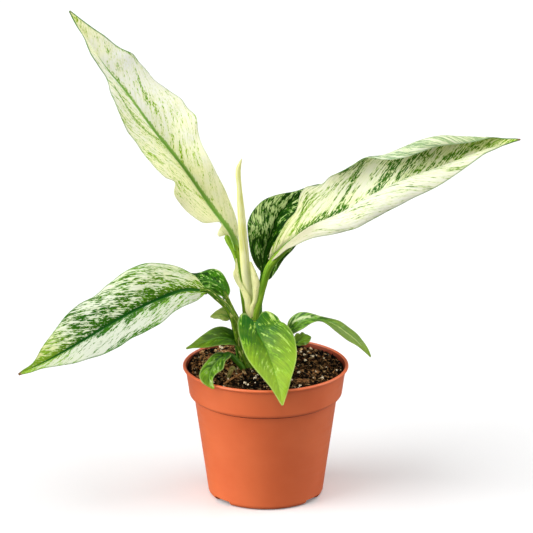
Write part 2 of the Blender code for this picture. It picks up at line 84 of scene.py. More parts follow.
class NodeBench:
    """Adds nodes to one material or group, each in a single call."""

    def __init__(self, tree: NodeTree) -> None:
        """Work on a node tree."""
        self.tree = tree

    def put(self, socket: Socket, value: object) -> None:
        """Feed a socket from another socket, or set its value.

        Args:
            socket: The input to feed.
            value: An output socket, a number, or a sequence of numbers.
        """
        if isinstance(value, Socket):
            self.tree.links.new(value, socket)
        else:
            socket.default_value = value

    def node(self, kind: str, inputs: dict | None = None, **settings: object) -> Node:
        """Add a node.

        Args:
            kind: The node's type name.
            inputs: Values or sockets for its inputs, by name or number.
            **settings: Properties to set on the node.

        Returns:
            The new node.
        """
        made = self.tree.nodes.new(kind)
        for key, value in settings.items():
            setattr(made, key, value)
        for key, value in (inputs or {}).items():
            self.put(made.inputs[key], value)
        return made

    def maths(self, operation: str, first: object, second: object = 0.0) -> Socket:
        """Return the result of a Math node."""
        return self.node("ShaderNodeMath", {0: first, 1: second}, operation=operation).outputs[0]

    def times(self, first: object, second: object) -> Socket:
        """Return a product."""
        return self.maths("MULTIPLY", first, second)

    def add(self, *terms: object) -> Socket:
        """Return a sum."""
        return reduce(lambda total, term: self.maths("ADD", total, term), terms)

    def sway(self, value: object, share: float = 1.0) -> Socket:
        """Return how far a value lies from a half, times a share."""
        return self.times(self.maths("SUBTRACT", value, 0.5), share)

    def fade(self, value: object, low: float, high: float, start: float = 0.0, end: float = 1.0) -> Socket:
        """Return a smooth step of value, from start at low to end at high."""
        inputs = {"Value": value, "From Min": low, "From Max": high, "To Min": start, "To Max": end}
        return self.node("ShaderNodeMapRange", inputs, interpolation_type="SMOOTHSTEP").outputs[0]

    def blend(self, share: object, first: object, second: object) -> Socket:
        """Return a mix of two colours."""
        return self.node("ShaderNodeMix", {0: share, 6: first, 7: second}, data_type="RGBA").outputs[2]

    def grain(self, place: object, scale: float, detail: float = 2.0, rough: float = 0.5) -> Socket:
        """Return the value of a Noise texture."""
        inputs = {"Vector": place, "Scale": scale, "Detail": detail, "Roughness": rough}
        return self.node("ShaderNodeTexNoise", inputs).outputs["Fac"]

    def stretched(self, place: object, scale: object, detail: float, rough: float = 0.5,
                  shift: object = (0.0, 0.0, 0.0)) -> Socket:
        """Return a Noise texture whose place is scaled on each axis, then shifted."""
        moved = self.node("ShaderNodeVectorMath", {0: place, 1: scale, 2: shift}, operation="MULTIPLY_ADD")
        return self.grain(moved.outputs[0], 1.0, detail, rough)

    def uv(self, name: str) -> Socket:
        """Return a place on the piece's UV map."""
        return self.node("ShaderNodeUVMap", uv_map=name).outputs[0]

    def first_of(self, place: object) -> Socket:
        """Return the first number of a place."""
        return self.node("ShaderNodeSeparateXYZ", {0: place}).outputs[0]

    def channels(self, name: str) -> tuple[Socket, ...]:
        """Return the three channels of a colour attribute."""
        source = self.node("ShaderNodeAttribute", attribute_name=name).outputs["Color"]
        return tuple(self.node("ShaderNodeSeparateColor", {0: source}).outputs)

    def effect(self, group: NodeTree, inputs: dict) -> dict[str, Socket]:
        """Place a shader group and return its outputs by name."""
        made = self.node("ShaderNodeGroup", inputs, node_tree=group)
        return {socket.name: socket for socket in made.outputs}

    def dress(self, shader: Node, colour: object, height: object, bump: tuple[float, float],
              roughness: object, gloss: float) -> None:
        """Feed a Principled shader.

        Args:
            shader: The shader.
            colour: Its base colour.
            height: The height that its bump follows.
            bump: How strong the bump is, and how high in metres.
            roughness: Its roughness.
            gloss: Its specular level.
        """
        inputs = {"Height": height, "Strength": bump[0], "Distance": bump[1]}
        normal = self.node("ShaderNodeBump", inputs).outputs[0]
        for name, value in (("Base Color", colour), ("Normal", normal), ("Roughness", roughness),
                            ("Specular IOR Level", gloss)):
            self.put(shader.inputs[name], value)


def new_material(name: str) -> tuple[Material, NodeBench, Node]:
    """Make a material.

    Args:
        name: Its name.

    Returns:
        The material, a bench on its nodes, and its Principled shader.
    """
    made = bpy.data.materials.new(name)
    made.use_nodes = True
    return made, NodeBench(made.node_tree), made.node_tree.nodes["Principled BSDF"]


def new_group(name: str, inputs: dict[str, object],
              outputs: tuple) -> tuple[NodeBench, dict[str, Socket], Node]:
    """Make an empty shader group.

    Args:
        name: The group's name.
        inputs: Each input's default value by its name. Three numbers make it a vector.
        outputs: The names of its outputs, which are all numbers.

    Returns:
        A bench on the group, its inputs by name, and its output node.
    """
    tree = bpy.data.node_groups.new(name, "ShaderNodeTree")
    for key, value in inputs.items():
        kind = "NodeSocketVector" if isinstance(value, tuple) else "NodeSocketFloat"
        tree.interface.new_socket(key, in_out="INPUT", socket_type=kind).default_value = value
    for key in outputs:
        tree.interface.new_socket(key, in_out="OUTPUT", socket_type="NodeSocketFloat")
    bench = NodeBench(tree)
    source = bench.node("NodeGroupInput")
    return bench, {key: source.outputs[key] for key in inputs}, bench.node("NodeGroupOutput")


@cache
def vein_flecks() -> NodeTree:
    """Build the group that breaks a share of green into flecks along the veins, once.

    Returns:
        The group.
    """
    spans = {"Mask": (-0.03, 0.05), "Depth": (0.0, 0.5), "Halo": (-0.7, 0.0), "Veil": (-0.32, -0.2)}
    green_share, texture_share, veil_share = 1.5, 2.0, 1.6
    blot_grain, veil_grain = (2.4, 1.7, 1.0), (3.1, 2.3, 1.0)
    bench, given, out = new_group(
        "vein_flecks",
        {"Green": 0.5, "Seed": 0.0, "Streaks": 1.0, "Specks": 1.0, "Blots": 0.0, "Bands": 1.0, "Cap": 0.3,
         "Streak grain": (3.4, 0.85, 1.0), "Speck grain": (5.0, 5.0, 1.0), "Band grain": (0.8, 0.3, 1.0)},
        (*spans, "Cloud"))
    veins, leaf = bench.uv("Veins"), bench.uv("Leaf")
    seed = given["Seed"]
    shift = bench.node("ShaderNodeCombineXYZ", {0: seed, 1: seed, 2: seed}).outputs[0]
    textures = {
        "Streaks": bench.stretched(veins, given["Streak grain"], 2.0, 0.6, shift),
        "Blots": bench.stretched(leaf, blot_grain, 3.0, 0.6, shift),
        "Bands": bench.stretched(veins, given["Band grain"], 2.0, 0.5, shift),
        "Specks": bench.stretched(veins, given["Speck grain"], 2.0, 0.6, shift)}
    level = bench.sway(given["Green"], green_share)
    for weight, texture in textures.items():
        if weight == "Specks":
            level = bench.maths("MINIMUM", level, given["Cap"])
        level = bench.add(level, bench.times(bench.sway(texture, texture_share), given[weight]))
    loose = bench.add(level, bench.sway(bench.stretched(leaf, veil_grain, 3.0, 0.65, shift), veil_share))
    for name, span in spans.items():
        bench.put(out.inputs[name], bench.fade(loose if name == "Veil" else level, *span))
    bench.put(out.inputs["Cloud"], textures["Streaks"])
    return bench.tree


@cache
def leaf_relief() -> NodeTree:
    """Build the group that gives a leaf its fine veins and cell grain as a height, once.

    Returns:
        The group.
    """
    line_reach, line_height, cell_height = 0.16, -0.45, 0.12
    cell_grain, wave_grain = (60.0, 40.0, 1.0), (3.0, 0.7, 1.0)
    bench, given, out = new_group("leaf_relief", {"Vein spacing": 0.35}, ("Height", "Line"))
    veins = bench.uv("Veins")
    turns = bench.maths("DIVIDE", bench.first_of(veins), given["Vein spacing"])
    line = bench.fade(bench.maths("PINGPONG", turns, 0.5), line_reach, 0.0)
    cells = bench.times(bench.stretched(veins, cell_grain, 1.0), cell_height)
    waves = bench.stretched(veins, wave_grain, 2.0)
    bench.put(out.inputs["Height"], bench.add(bench.times(line, line_height), cells, waves))
    bench.put(out.inputs["Line"], line)
    return bench.tree


# ---- Finishes ----

@dataclass(frozen=True)
class LeafFinish:
    """The colours of a leaf's skin, and how its marbling breaks up."""

    name: str
    white: Colour = paint(246, 247, 236)
    cream: Colour = paint(236, 236, 162)
    tint: Colour = paint(206, 218, 110)
    # The next colour is a grey laid over pale parts as painted shade, where they face away from the light.
    painted_shade: Colour = paint(196, 201, 184)
    halo: float = 0.35
    veil: Colour = paint(176, 200, 110)
    veil_strength: float = 0.35
    light_green: Colour = paint(136, 182, 52)
    dark_green: Colour = paint(38, 98, 18)
    yellow_green: Colour = paint(170, 200, 62)
    green_yellowing: float = 0.3
    rib_light: Colour = paint(124, 176, 72)
    rib_dark: Colour = paint(44, 112, 48)
    rib_edge: Colour = paint(38, 98, 18)
    edge_green: Colour = paint(70, 128, 38)
    edge_pale: Colour = paint(198, 214, 130)
    underside: Colour = paint(200, 218, 160)
    underside_share: float = 0.3
    streaks: float = 1.0
    specks: float = 1.2
    blots: float = 0.0
    bands: float = 1.2
    cap: float = 0.25
    mottle: float = 1.0
    streak_grain: tuple = (3.4, 0.85, 1.0)
    speck_grain: tuple = (5.0, 5.0, 1.0)
    band_grain: tuple = (0.8, 0.3, 1.0)
    seed: float = 0.0
    underside_seed: float = 3.7
    vein_spacing: float = 0.65
    vein_show: float = 0.10
    roughness: float = 0.46
    gloss: float = 0.12
    bump: tuple = (0.4, 0.0007)
    scorched: Colour = paint(124, 78, 40)
    scorch: float = 0.0

    PATCH_SCALE = 0.9
    PATCH_SPAN = (0.2, 0.8)
    PATCH_WARMTH = 0.8
    FLECK_DEPTH = 0.6
    TONE_DEPTH = 0.9
    DEPTH_SPAN = (0.15, 1.15)
    EDGE_SPAN = (0.11, 0.04)
    SCORCH_SPAN = (0.15, 0.9)
    RIB_SPAN = (1.1, 0.75)
    RIB_RAGGED = 1.6
    RIB_CORE = (0.2, 0.9, 0.0, 0.6)
    RIB_SHOWN = (0.02, 0.08)

    def build(self, underside: bool) -> Material:
        """Make the material of one side of the leaf.

        Args:
            underside: Whether this is the paler lower side.

        Returns:
            The material.
        """
        made, bench, shader = new_material(self.name + ("_under" if underside else "_upper"))
        green, yellow, rib_width = bench.channels("Coat")
        margin, line, scorch = bench.channels("Edge")
        # The second channel of Tone is the share of painted shade over the pale parts.
        tone, dullness, _ = bench.channels("Tone")
        place = bench.uv("Leaf")
        flecks = bench.effect(vein_flecks(), {
            "Green": green, "Seed": self.seed + (self.underside_seed if underside else 0.0),
            "Streaks": self.streaks, "Specks": self.specks, "Blots": self.blots, "Bands": self.bands,
            "Cap": self.cap, "Streak grain": self.streak_grain, "Speck grain": self.speck_grain,
            "Band grain": self.band_grain})
        patches = bench.grain(place, self.PATCH_SCALE)
        drift = bench.sway(patches)
        warmth = bench.add(yellow, bench.times(drift, self.PATCH_WARMTH))
        pale = bench.blend(bench.fade(warmth, 0.0, 1.0), self.white, self.cream)
        pale = bench.blend(bench.times(flecks["Halo"], self.halo), pale, self.tint)
        pale = bench.blend(bench.times(flecks["Veil"], self.veil_strength), pale, self.veil)
        # Painted shade: the pale parts are greyed by that share.
        pale = bench.blend(dullness, pale, self.painted_shade)
        depth = bench.add(bench.times(flecks["Depth"], self.FLECK_DEPTH), bench.times(tone, self.TONE_DEPTH),
                          drift, bench.sway(flecks["Cloud"], self.mottle))
        deep = bench.blend(bench.fade(depth, *self.DEPTH_SPAN), self.light_green, self.dark_green)
        deep = bench.blend(bench.fade(warmth, 0.0, 1.0, 0.0, self.green_yellowing), deep, self.yellow_green)
        skin = bench.blend(flecks["Mask"], pale, deep)
        relief = bench.effect(leaf_relief(), {"Vein spacing": self.vein_spacing})
        skin = bench.blend(bench.times(relief["Line"], self.vein_show), skin, self.light_green)
        skin = self.add_rib(bench, skin, place, rib_width, tone, flecks["Cloud"])
        near_edge = bench.fade(margin, *self.EDGE_SPAN)
        for sign, colour in ((1.0, self.edge_green), (-1.0, self.edge_pale)):
            shown = bench.maths("MAXIMUM", bench.times(line, sign), 0.0)
            skin = bench.blend(bench.times(near_edge, shown), skin, colour)
        skin = bench.blend(bench.fade(scorch, *self.SCORCH_SPAN, 0.0, self.scorch), skin, self.scorched)
        if underside:
            skin = bench.blend(self.underside_share, skin, self.underside)
        roughness = bench.fade(patches, *self.PATCH_SPAN, self.roughness - 0.06, self.roughness + 0.08)
        bench.dress(shader, skin, relief["Height"], self.bump, roughness, self.gloss)
        return made

    def add_rib(self, bench: NodeBench, skin: object, place: object, width: object, tone: object,
                cloud: object) -> Socket:
        """Paint the midrib over the skin, with edges that follow the grain of the veins.

        Args:
            bench: The bench on the material's nodes.
            skin: The colour that it lies on.
            place: The place on the leaf.
            width: The midrib's width.
            tone: How dark it is.
            cloud: The grain of the veins.

        Returns:
            The colour with the midrib.
        """
        across = bench.maths("ABSOLUTE", bench.first_of(place))
        share = bench.maths("DIVIDE", across, bench.add(bench.times(width, 0.5), 0.001))
        ragged = bench.fade(bench.add(share, bench.sway(cloud, self.RIB_RAGGED)), *self.RIB_SPAN)
        colour = bench.blend(tone, self.rib_light, self.rib_dark)
        core = bench.blend(bench.fade(share, *self.RIB_CORE), colour, self.rib_edge)
        return bench.blend(bench.times(ragged, bench.fade(width, *self.RIB_SHOWN)), skin, core)


@dataclass(frozen=True)
class StalkFinish:
    """The skin of a leaf stalk: lengthwise stripes between two greens, and pale streaks."""

    name: str
    light: Colour
    dark: Colour
    streak: Colour
    streak_share: float = 0.0
    stripe_grain: tuple = (9.0, 0.35, 1.0)
    stripe_span: tuple = (0.7, 1.1)
    cloud_grain: tuple = (1.2, 0.5, 1.0)
    cloud_weight: float = 0.8
    mottle_grain: tuple = (7.0, 2.0, 1.0)
    roughness: float = 0.45
    gloss: float = 0.2
    bump: tuple = (0.25, 0.0004)

    @cache
    def build(self) -> Material:
        """Make the material, once.

        Returns:
            The material.
        """
        made, bench, shader = new_material(self.name)
        place = bench.uv("Stem")
        stripes = bench.stretched(place, self.stripe_grain, 3.0)
        cloud = bench.stretched(place, self.cloud_grain, 2.0, shift=(7.0, 3.0, 0.0))
        level = bench.add(stripes, bench.times(cloud, self.cloud_weight))
        skin = bench.blend(bench.fade(level, *self.stripe_span), self.light, self.dark)
        if self.streak_share:
            mottle = bench.stretched(place, self.mottle_grain, 2.0, shift=(1.0, 9.0, 0.0))
            start = 0.62 - 0.3 * self.streak_share
            skin = bench.blend(bench.fade(mottle, start, start + 0.1), skin, self.streak)
        bench.dress(shader, skin, stripes, self.bump, self.roughness, self.gloss)
        return made


@dataclass(frozen=True)
class PlasticFinish:
    """Satin moulded plastic with faint flow marks and scuffs."""

    name: str = "terracotta_plastic"
    colour: Colour = paint(240, 117, 62)
    darker: Colour = paint(231, 106, 52)
    roughness: float = 0.38
    gloss: float = 0.62
    cloud_scale: float = 28.0
    flow_grain: tuple = (14.0, 14.0, 90.0)
    pore_scale: float = 2600.0
    pore_height: float = 0.35
    scuff_grain: tuple = (60.0, 60.0, 340.0)
    cloud_span: tuple = (0.25, 0.75)
    scuff_span: tuple = (0.3, 0.75)
    bump: tuple = (0.10, 0.0004)

    def build(self) -> Material:
        """Make the material.

        Returns:
            The material.
        """
        made, bench, shader = new_material(self.name)
        place = bench.node("ShaderNodeTexCoord").outputs["Object"]
        cloud = bench.grain(place, self.cloud_scale, 3.0)
        skin = bench.blend(bench.fade(cloud, *self.cloud_span), self.colour, self.darker)
        flow = bench.stretched(place, self.flow_grain, 2.0)
        height = bench.add(bench.times(bench.grain(place, self.pore_scale), self.pore_height), flow)
        scuffs = bench.stretched(place, self.scuff_grain, 4.0, 0.7)
        roughness = bench.fade(scuffs, *self.scuff_span, self.roughness - 0.04, self.roughness + 0.1)
        bench.dress(shader, skin, height, self.bump, roughness, self.gloss)
        return made


@dataclass(frozen=True)
class EarthFinish:
    """Crumbly or woody matter: two colours in grains of a given size.

    Where varied is set, each loose grain has its own shade, with the soil's painted light and shade in it,
    kept in the attribute "Grain".
    """

    name: str
    dark: Colour
    light: Colour
    grain_scale: float
    light_share: float = 0.5
    roughness: float = 0.9
    gloss: float = 0.1
    bump_mm: float = 0.6
    varied: bool = False
    warm: Colour = paint(140, 74, 40)
    fine_scale: float = 4.3
    coarse_share: float = 0.6
    bump_strength: float = 0.8

    @cache
    def build(self) -> Material:
        """Make the material, once.

        Returns:
            The material.
        """
        made, bench, shader = new_material(self.name)
        place = bench.node("ShaderNodeTexCoord").outputs["Object"]
        coarse = bench.grain(place, self.grain_scale, 4.0, 0.65)
        fine = bench.grain(place, self.grain_scale * self.fine_scale, 3.0, 0.6)
        level = bench.add(bench.times(coarse, self.coarse_share), bench.times(fine, 1 - self.coarse_share))
        middle = 0.62 - 0.24 * self.light_share
        share = bench.fade(level, middle - 0.08, middle + 0.1)
        light = self.light
        if self.varied:
            shade, warmth, _ = bench.channels("Grain")
            share = bench.times(bench.add(bench.times(share, 0.5), 0.5), shade)
            light = bench.blend(warmth, self.light, self.warm)
        skin = bench.blend(share, self.dark, light)
        bump = (self.bump_strength, self.bump_mm * MM)
        bench.dress(shader, skin, level, bump, self.roughness, self.gloss)
        return made


# ---- Modelling helpers ----

def select_only(obj: Object) -> None:
    """Make an object the only one selected, and active.

    Args:
        obj: The object.
    """
    bpy.ops.object.select_all(action="DESELECT")
    obj.select_set(True)
    bpy.context.view_layer.objects.active = obj


def add_primitive(kind: str, name: str, **sizes: object) -> Object:
    """Add a mesh primitive with nothing else selected, and name it.

    Args:
        kind: Which primitive it is.
        name: Its name.
        **sizes: Its sizes and numbers of parts.

    Returns:
        The object.
    """
    bpy.ops.object.select_all(action="DESELECT")
    getattr(bpy.ops.mesh, "primitive_%s_add" % kind)(**sizes)
    obj = bpy.context.object
    obj.name = name
    obj.data.name = name
    return obj


@contextmanager
def edit_mode(obj: Object) -> Iterator[None]:
    """Work on an object in edit mode, with all of its mesh selected.

    Args:
        obj: The object.

    Yields:
        Nothing.
    """
    select_only(obj)
    bpy.ops.object.mode_set(mode="EDIT")
    bpy.ops.mesh.select_all(action="SELECT")
    yield
    bpy.ops.object.mode_set(mode="OBJECT")


def apply_modifiers(obj: Object) -> None:
    """Apply all of an object's modifiers, in order.

    Args:
        obj: The object.
    """
    select_only(obj)
    for name in [modifier.name for modifier in obj.modifiers]:
        bpy.ops.object.modifier_apply(modifier=name)


def shade_smooth(obj: Object, degrees: float) -> None:
    """Shade an object smooth, but for the edges that bend more than an angle."""
    select_only(obj)
    bpy.ops.object.shade_smooth_by_angle(angle=math.radians(degrees))


def smooth_rows(rows: tuple, t: Array) -> Array:
    """Run a Catmull-Rom curve through rows of numbers.

    Args:
        rows: The rows that the curve passes through.
        t: Places to read it at, from 0 at the first row to 1 at the last.

    Returns:
        One row for each place.
    """
    points = np.asarray(rows, dtype=float)
    padded = np.vstack([2 * points[0] - points[1], points, 2 * points[-1] - points[-2]])
    place = np.clip(t, 0.0, 1.0) * (len(points) - 1)
    index = np.minimum(place.astype(int), len(points) - 2)
    f = (place - index)[:, None]
    a, b, c, d = (padded[index + k] for k in range(4))
    return 0.5 * (2 * b + (c - a) * f + (2 * a - 5 * b + 4 * c - d) * f ** 2
                  + (3 * b - a - 3 * c + d) * f ** 3)


def unit(vectors: Array) -> Array:
    """Return vectors of length 1 that point the same way."""
    return vectors / np.linalg.norm(vectors, axis=1)[:, None]


def cross_axes(ahead: Array, towards: tuple) -> tuple[Array, Array]:
    """Return the side and up directions at each place along a line, up nearest to a given way."""
    side = unit(np.cross(ahead, np.array(towards)))
    return side, np.cross(side, ahead)


def run_length(points: Array) -> Array:
    """Return the distance along a line of points to each of them."""
    return np.concatenate([[0], np.cumsum(np.linalg.norm(np.diff(points, axis=0), axis=1))])


def lay_grid(name: str, points: Array) -> Object:
    """Add a grid and lay its vertices, which run row by row, on given points.

    Args:
        name: The object's name.
        points: Places in millimetres, shaped (rows, columns, 3).

    Returns:
        The grid object.
    """
    rows, columns = points.shape[:2]
    obj = add_primitive("grid", name, x_subdivisions=columns - 1, y_subdivisions=rows - 1, size=2.0,
                        calc_uvs=False)
    obj.data.vertices.foreach_set("co", (points * MM).reshape(-1))
    obj.data.update()
    return obj


def loop_vertices(mesh: Mesh) -> Array:
    """Return the vertex number of each face corner.

    Args:
        mesh: The mesh.

    Returns:
        One number for each corner.
    """
    numbers = np.zeros(len(mesh.loops), dtype=np.int32)
    mesh.loops.foreach_get("vertex_index", numbers)
    return numbers


def add_uv(mesh: Mesh, name: str, values: Array) -> None:
    """Add a UV map from one pair of millimetres for each face corner."""
    layer = mesh.uv_layers.new(name=name)
    layer.data.foreach_set("uv", np.ascontiguousarray(values / MM_PER_CM, dtype=np.float32).reshape(-1))


def add_channels(mesh: Mesh, name: str, *values: Array) -> None:
    """Add a colour attribute.

    Args:
        mesh: The mesh that it is kept in.
        name: Its name.
        *values: Three arrays, each with a number for each vertex.
    """
    layer = mesh.color_attributes.new(name=name, type="FLOAT_COLOR", domain="POINT")
    full = np.ones((len(mesh.vertices), 4), dtype=np.float32)
    full[:, :3] = np.stack(values, axis=-1).reshape(-1, 3)
    layer.data.foreach_set("color", full.reshape(-1))


def place_piece(obj: Object, slot: str, nodes: list[str], *materials: Material) -> None:
    """Hand a finished piece to the frame.

    Args:
        obj: The piece.
        slot: A material slot of the record; it is not used.
        nodes: The solids that it stands for.
        *materials: Materials that it doesn't have yet.
    """
    for made in materials:
        obj.data.materials.append(made)
    select_only(obj)
    bpy.ops.object.transform_apply(location=True, rotation=True, scale=True)
    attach(obj, BODY)
    if nodes:
        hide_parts(*nodes)
    LOG.info("%s: %d faces", obj.name, len(obj.data.polygons))


def merged_object(name: str, shells: list[tuple[Array, list]], smooth: bool = True) -> Object:
    """Make one object of many shells.

    Args:
        name: The object's name.
        shells: For each shell, its points in millimetres and its faces as lists of point numbers.
        smooth: Whether its faces are shaded smooth.

    Returns:
        The object.
    """
    points, faces, start = [], [], 0
    for shell_points, shell_faces in shells:
        points.append(shell_points)
        faces.extend([[corner + start for corner in face] for face in shell_faces])
        start += len(shell_points)
    mesh = bpy.data.meshes.new(name)
    mesh.from_pydata((np.concatenate(points) * MM).tolist(), [], faces)
    if smooth:
        mesh.shade_smooth()
    obj = bpy.data.objects.new(name, mesh)
    bpy.context.scene.collection.objects.link(obj)
    return obj


def tube_shell(spine: Array, radius: Array, around: int) -> tuple[Array, list]:
    """Return the points and faces of a closed thin tube.

    Args:
        spine: Points along its middle, in millimetres.
        radius: Its radius at each of them.
        around: How many sides it has.

    Returns:
        The tube's points, and its faces as lists of point numbers.
    """
    side, up = cross_axes(unit(np.gradient(spine, axis=0)), (0.01, 0.02, 1.0))
    angle = np.arange(around) * TURN / around
    ring = np.cos(angle)[None, :, None] * side[:, None, :] + np.sin(angle)[None, :, None] * up[:, None, :]
    points = (spine[:, None, :] + radius[:, None, None] * ring).reshape(-1, 3)
    points = np.vstack([points, spine[:1], spine[-1:]])
    last_ring = (len(spine) - 1) * around
    faces = []
    for start in range(0, last_ring, around):
        for column in range(around):
            a, b = start + column, start + (column + 1) % around
            faces.append([a, a + around, b + around, b])
    for column in range(around):
        following = (column + 1) % around
        faces.append([len(points) - 2, column, following])
        faces.append([len(points) - 1, last_ring + following, last_ring + column])
    return points, faces


# ---- Leaf blades ----

class Side(Enum):
    """A half of a blade, seen with its tip away."""

    LEFT = -1
    RIGHT = 1


@dataclass(frozen=True)
class Sheet:
    """A blade's smooth sheet, in rows along its midrib and columns across it.

    t and s are the places of its rows and columns: t runs from 0 at the stalk to 1 at the tip, and
    s from -1 at the left margin to 1 at the right one. The rest is in millimetres: its points, the
    width of its half at each of them, each row's distance along the midrib, and which vein passes
    through each point, told by where that vein leaves the midrib.
    """

    t: Array
    s: Array
    points: Array
    widths: Array
    length: Array
    phase: Array

    @property
    def signed(self) -> Array:
        """Each point's distance from the midrib, below nought on the left."""
        return self.s[None, :] * self.widths

    @property
    def distance(self) -> Array:
        """Each point's distance from the midrib."""
        return np.abs(self.signed)

    @property
    def normals(self) -> Array:
        """The unit normal at each point."""
        normal = np.cross(np.gradient(self.points, axis=1), np.gradient(self.points, axis=0))
        return normal / np.maximum(np.linalg.norm(normal, axis=2), 1e-9)[:, :, None]


@dataclass(frozen=True)
class Streak:
    """A mark of more or less green along a path of (t, s) places on the blade.

    width is in millimetres, green is added to the share of green, tone to its darkness, and the last
    number to the painted shade that greys the pale parts.
    """

    path: tuple
    width: float
    green: float
    tone: float = 0.0
    painted_shade: float = 0.0

    def strength(self, sheet: Sheet) -> Array:
        """Return how strong the mark is.

        Args:
            sheet: The sheet that it lies on.

        Returns:
            Its strength at each point of the sheet, from 0 to 1.
        """
        knots = []
        for at, s in self.path:
            margin = sheet.widths[:, 0 if s < 0 else -1]
            knots.append((np.interp(at, sheet.t, sheet.length), s * np.interp(at, sheet.t, margin)))
        nearest = np.full(sheet.signed.shape, np.inf)
        for (u0, v0), (u1, v1) in zip(knots[:-1], knots[1:]):
            du, dv = u1 - u0, v1 - v0
            u, v = sheet.length[:, None] - u0, sheet.signed - v0
            share = np.clip((u * du + v * dv) / (du * du + dv * dv), 0, 1)
            nearest = np.minimum(nearest, np.hypot(u - share * du, v - share * dv))
        return np.exp(-(nearest / self.width) ** 2)


@dataclass(frozen=True)
class Bulge:
    """A place where a margin bellies out or draws in, and lifts or sinks.

    at and reach are shares of the blade's length; grow and lift are in millimetres at the margin.
    """

    side: Side
    at: float
    reach: float
    grow: float
    lift: float = 0.0


def bulges_on(side: Side, *rows: tuple) -> tuple[Bulge, ...]:
    """Return the bulges of one margin, from rows of at, reach, grow and lift."""
    return tuple(Bulge(side, *row) for row in rows)


@dataclass(frozen=True)
class Blade:
    """A leaf blade through stations from its stalk to its tip.

    Each station is the midrib's (x, y, z), then for the left and the right half its width, the
    angle at which it leaves the midrib and how far it curls back by its margin, in degrees. Each
    row of coat belongs to a station: the share of green on the left and on the right half, of
    yellow, how dark the green is, the midrib's green width in millimetres, and the strength of
    the line along the margin, which is green above nought and pale below it.
    """

    name: str
    node: str
    slot: str
    facing: tuple
    stations: tuple
    coat: tuple
    finish: LeafFinish
    streaks: tuple = ()
    bulges: tuple = ()
    base_round: float = 0.10
    lobes: tuple = (0.0, 0.0)
    across: int = 64
    along: int = 160
    rib_depth: float = 1.8
    pleat: float = 0.30
    pleat_spacing: float = 7.0
    ripple: float = 0.8
    ripple_pitches: tuple = (58.0, 31.0, 17.0)
    thickness: float = 0.45
    forward_at_rib: float = 1.6
    forward_at_margin: float = 3.4
    feather: float = 0.0
    feather_reach: float = 6.0
    margin_light: float = 0.0
    right_yellow: float = 1.0
    # How much painted shade greys the pale parts of the left half.
    left_painted_shade: float = 0.0
    scorch_length: float = 4.0
    seed: int = 1

    ARC_STEPS = 24
    END_CROWDING = 0.3
    SMALL_STEP = 0.001
    LEAST_HALF = 0.5
    ROUND_END = 1.5
    LOBE_PLACE = 5.5
    GROOVE_DEPTH = 0.55
    GROOVE_HALF = (0.9, 0.5)
    PLEATS_FROM = 5.0
    PLEAT_POWER = 0.8
    PLEAT_MIDDLE = 0.6
    MARGIN_FADE = 4
    END_FADE = 8
    RIB_HALF = (1.2, 0.6)
    LEAST_WEIGHT = 0.01
    BLEND_HALF = 3.0
    HALVES_APART = 400.0

    def build(self) -> None:
        """Make the blade and dress it."""
        t = np.linspace(0, 1, self.along + 1)
        t += self.END_CROWDING * ((1 - np.cos(np.pi * t)) / 2 - t)
        s = np.linspace(-1, 1, self.across + 1)
        points, widths = self.shape(t, s)
        length = run_length(points[:, self.across // 2])
        distance = np.abs(s)[None, :] * widths
        forward = (self.forward_at_rib * distance
                   + (self.forward_at_margin - self.forward_at_rib) * distance * s[None, :] ** 2 / 3)
        sheet = Sheet(t, s, points, widths, length, length[:, None] - forward)
        obj = lay_grid(self.name, points + sheet.normals * self.relief(sheet)[:, :, None])
        self.add_places(obj.data, sheet)
        self.add_coat(obj.data, sheet)
        self.mark_rib(obj, sheet)
        for underside in (False, True):
            obj.data.materials.append(self.finish.build(underside))
        self.solidify(obj)
        place_piece(obj, self.slot, [self.node])

    def shape(self, t: Array, s: Array) -> tuple[Array, Array]:
        """Return the points of the smooth sheet and the width of each half.

        Args:
            t: Places along the midrib, from 0 to 1.
            s: Places across, from -1 at the left margin to 1 at the right one.

        Returns:
            Points shaped (rows, columns, 3), and widths shaped (rows, columns), in millimetres.
        """
        rows = smooth_rows(self.stations, t)
        before, after = (smooth_rows(self.stations, np.clip(t + step, 0, 1))[:, :3]
                         for step in (-self.SMALL_STEP, self.SMALL_STEP))
        along = unit(after - before)
        side, up = cross_axes(along, self.facing)
        rounding = np.sqrt(1 - (1 - np.clip(t / self.base_round, 0, 1)) ** 2)
        behind = self.LOBE_PLACE * t / self.base_round
        points = np.zeros((len(t), len(s), 3))
        widths = np.zeros((len(t), len(s)))
        for column, across in enumerate(s):
            half = Side.LEFT if across < 0 else Side.RIGHT
            width, lift, curl = rows[:, 3:6].T if half is Side.LEFT else rows[:, 6:9].T
            share = abs(across)
            grow, raised = self.swelling(t, half)
            rounded = np.maximum(rounding, self.ROUND_END / np.maximum(width, 2 * self.ROUND_END))
            width = np.maximum(width + grow, self.LEAST_HALF) * rounded
            steps = (np.arange(self.ARC_STEPS) + 0.5) / self.ARC_STEPS * share
            angle = np.radians(lift)[:, None] - np.radians(curl)[:, None] * steps ** 2
            scale = (width * share / self.ARC_STEPS)[:, None]
            sideways = (scale * np.cos(angle)).sum(axis=1) * half.value
            upwards = (scale * np.sin(angle)).sum(axis=1) + raised * share ** 2
            lobe = self.lobes[0 if half is Side.LEFT else 1]
            back = lobe * share ** 2 * np.sqrt(behind) * np.exp(0.5 * (1 - behind))
            points[:, column] = (rows[:, :3] + sideways[:, None] * side + upwards[:, None] * up
                                 - back[:, None] * along)
            widths[:, column] = width
        return points, widths

    def swelling(self, t: Array, side: Side) -> tuple[Array, Array]:
        """Return what the bulges do to one half.

        Args:
            t: Places along the midrib.
            side: The half.

        Returns:
            How much wider it gets and how much its margin is lifted at each place.
        """
        grow, raised = np.zeros_like(t), np.zeros_like(t)
        for bulge in self.bulges:
            if bulge.side is side:
                rise = np.exp(-((t - bulge.at) / bulge.reach) ** 2)
                grow += bulge.grow * rise
                raised += bulge.lift * rise
        return grow, raised

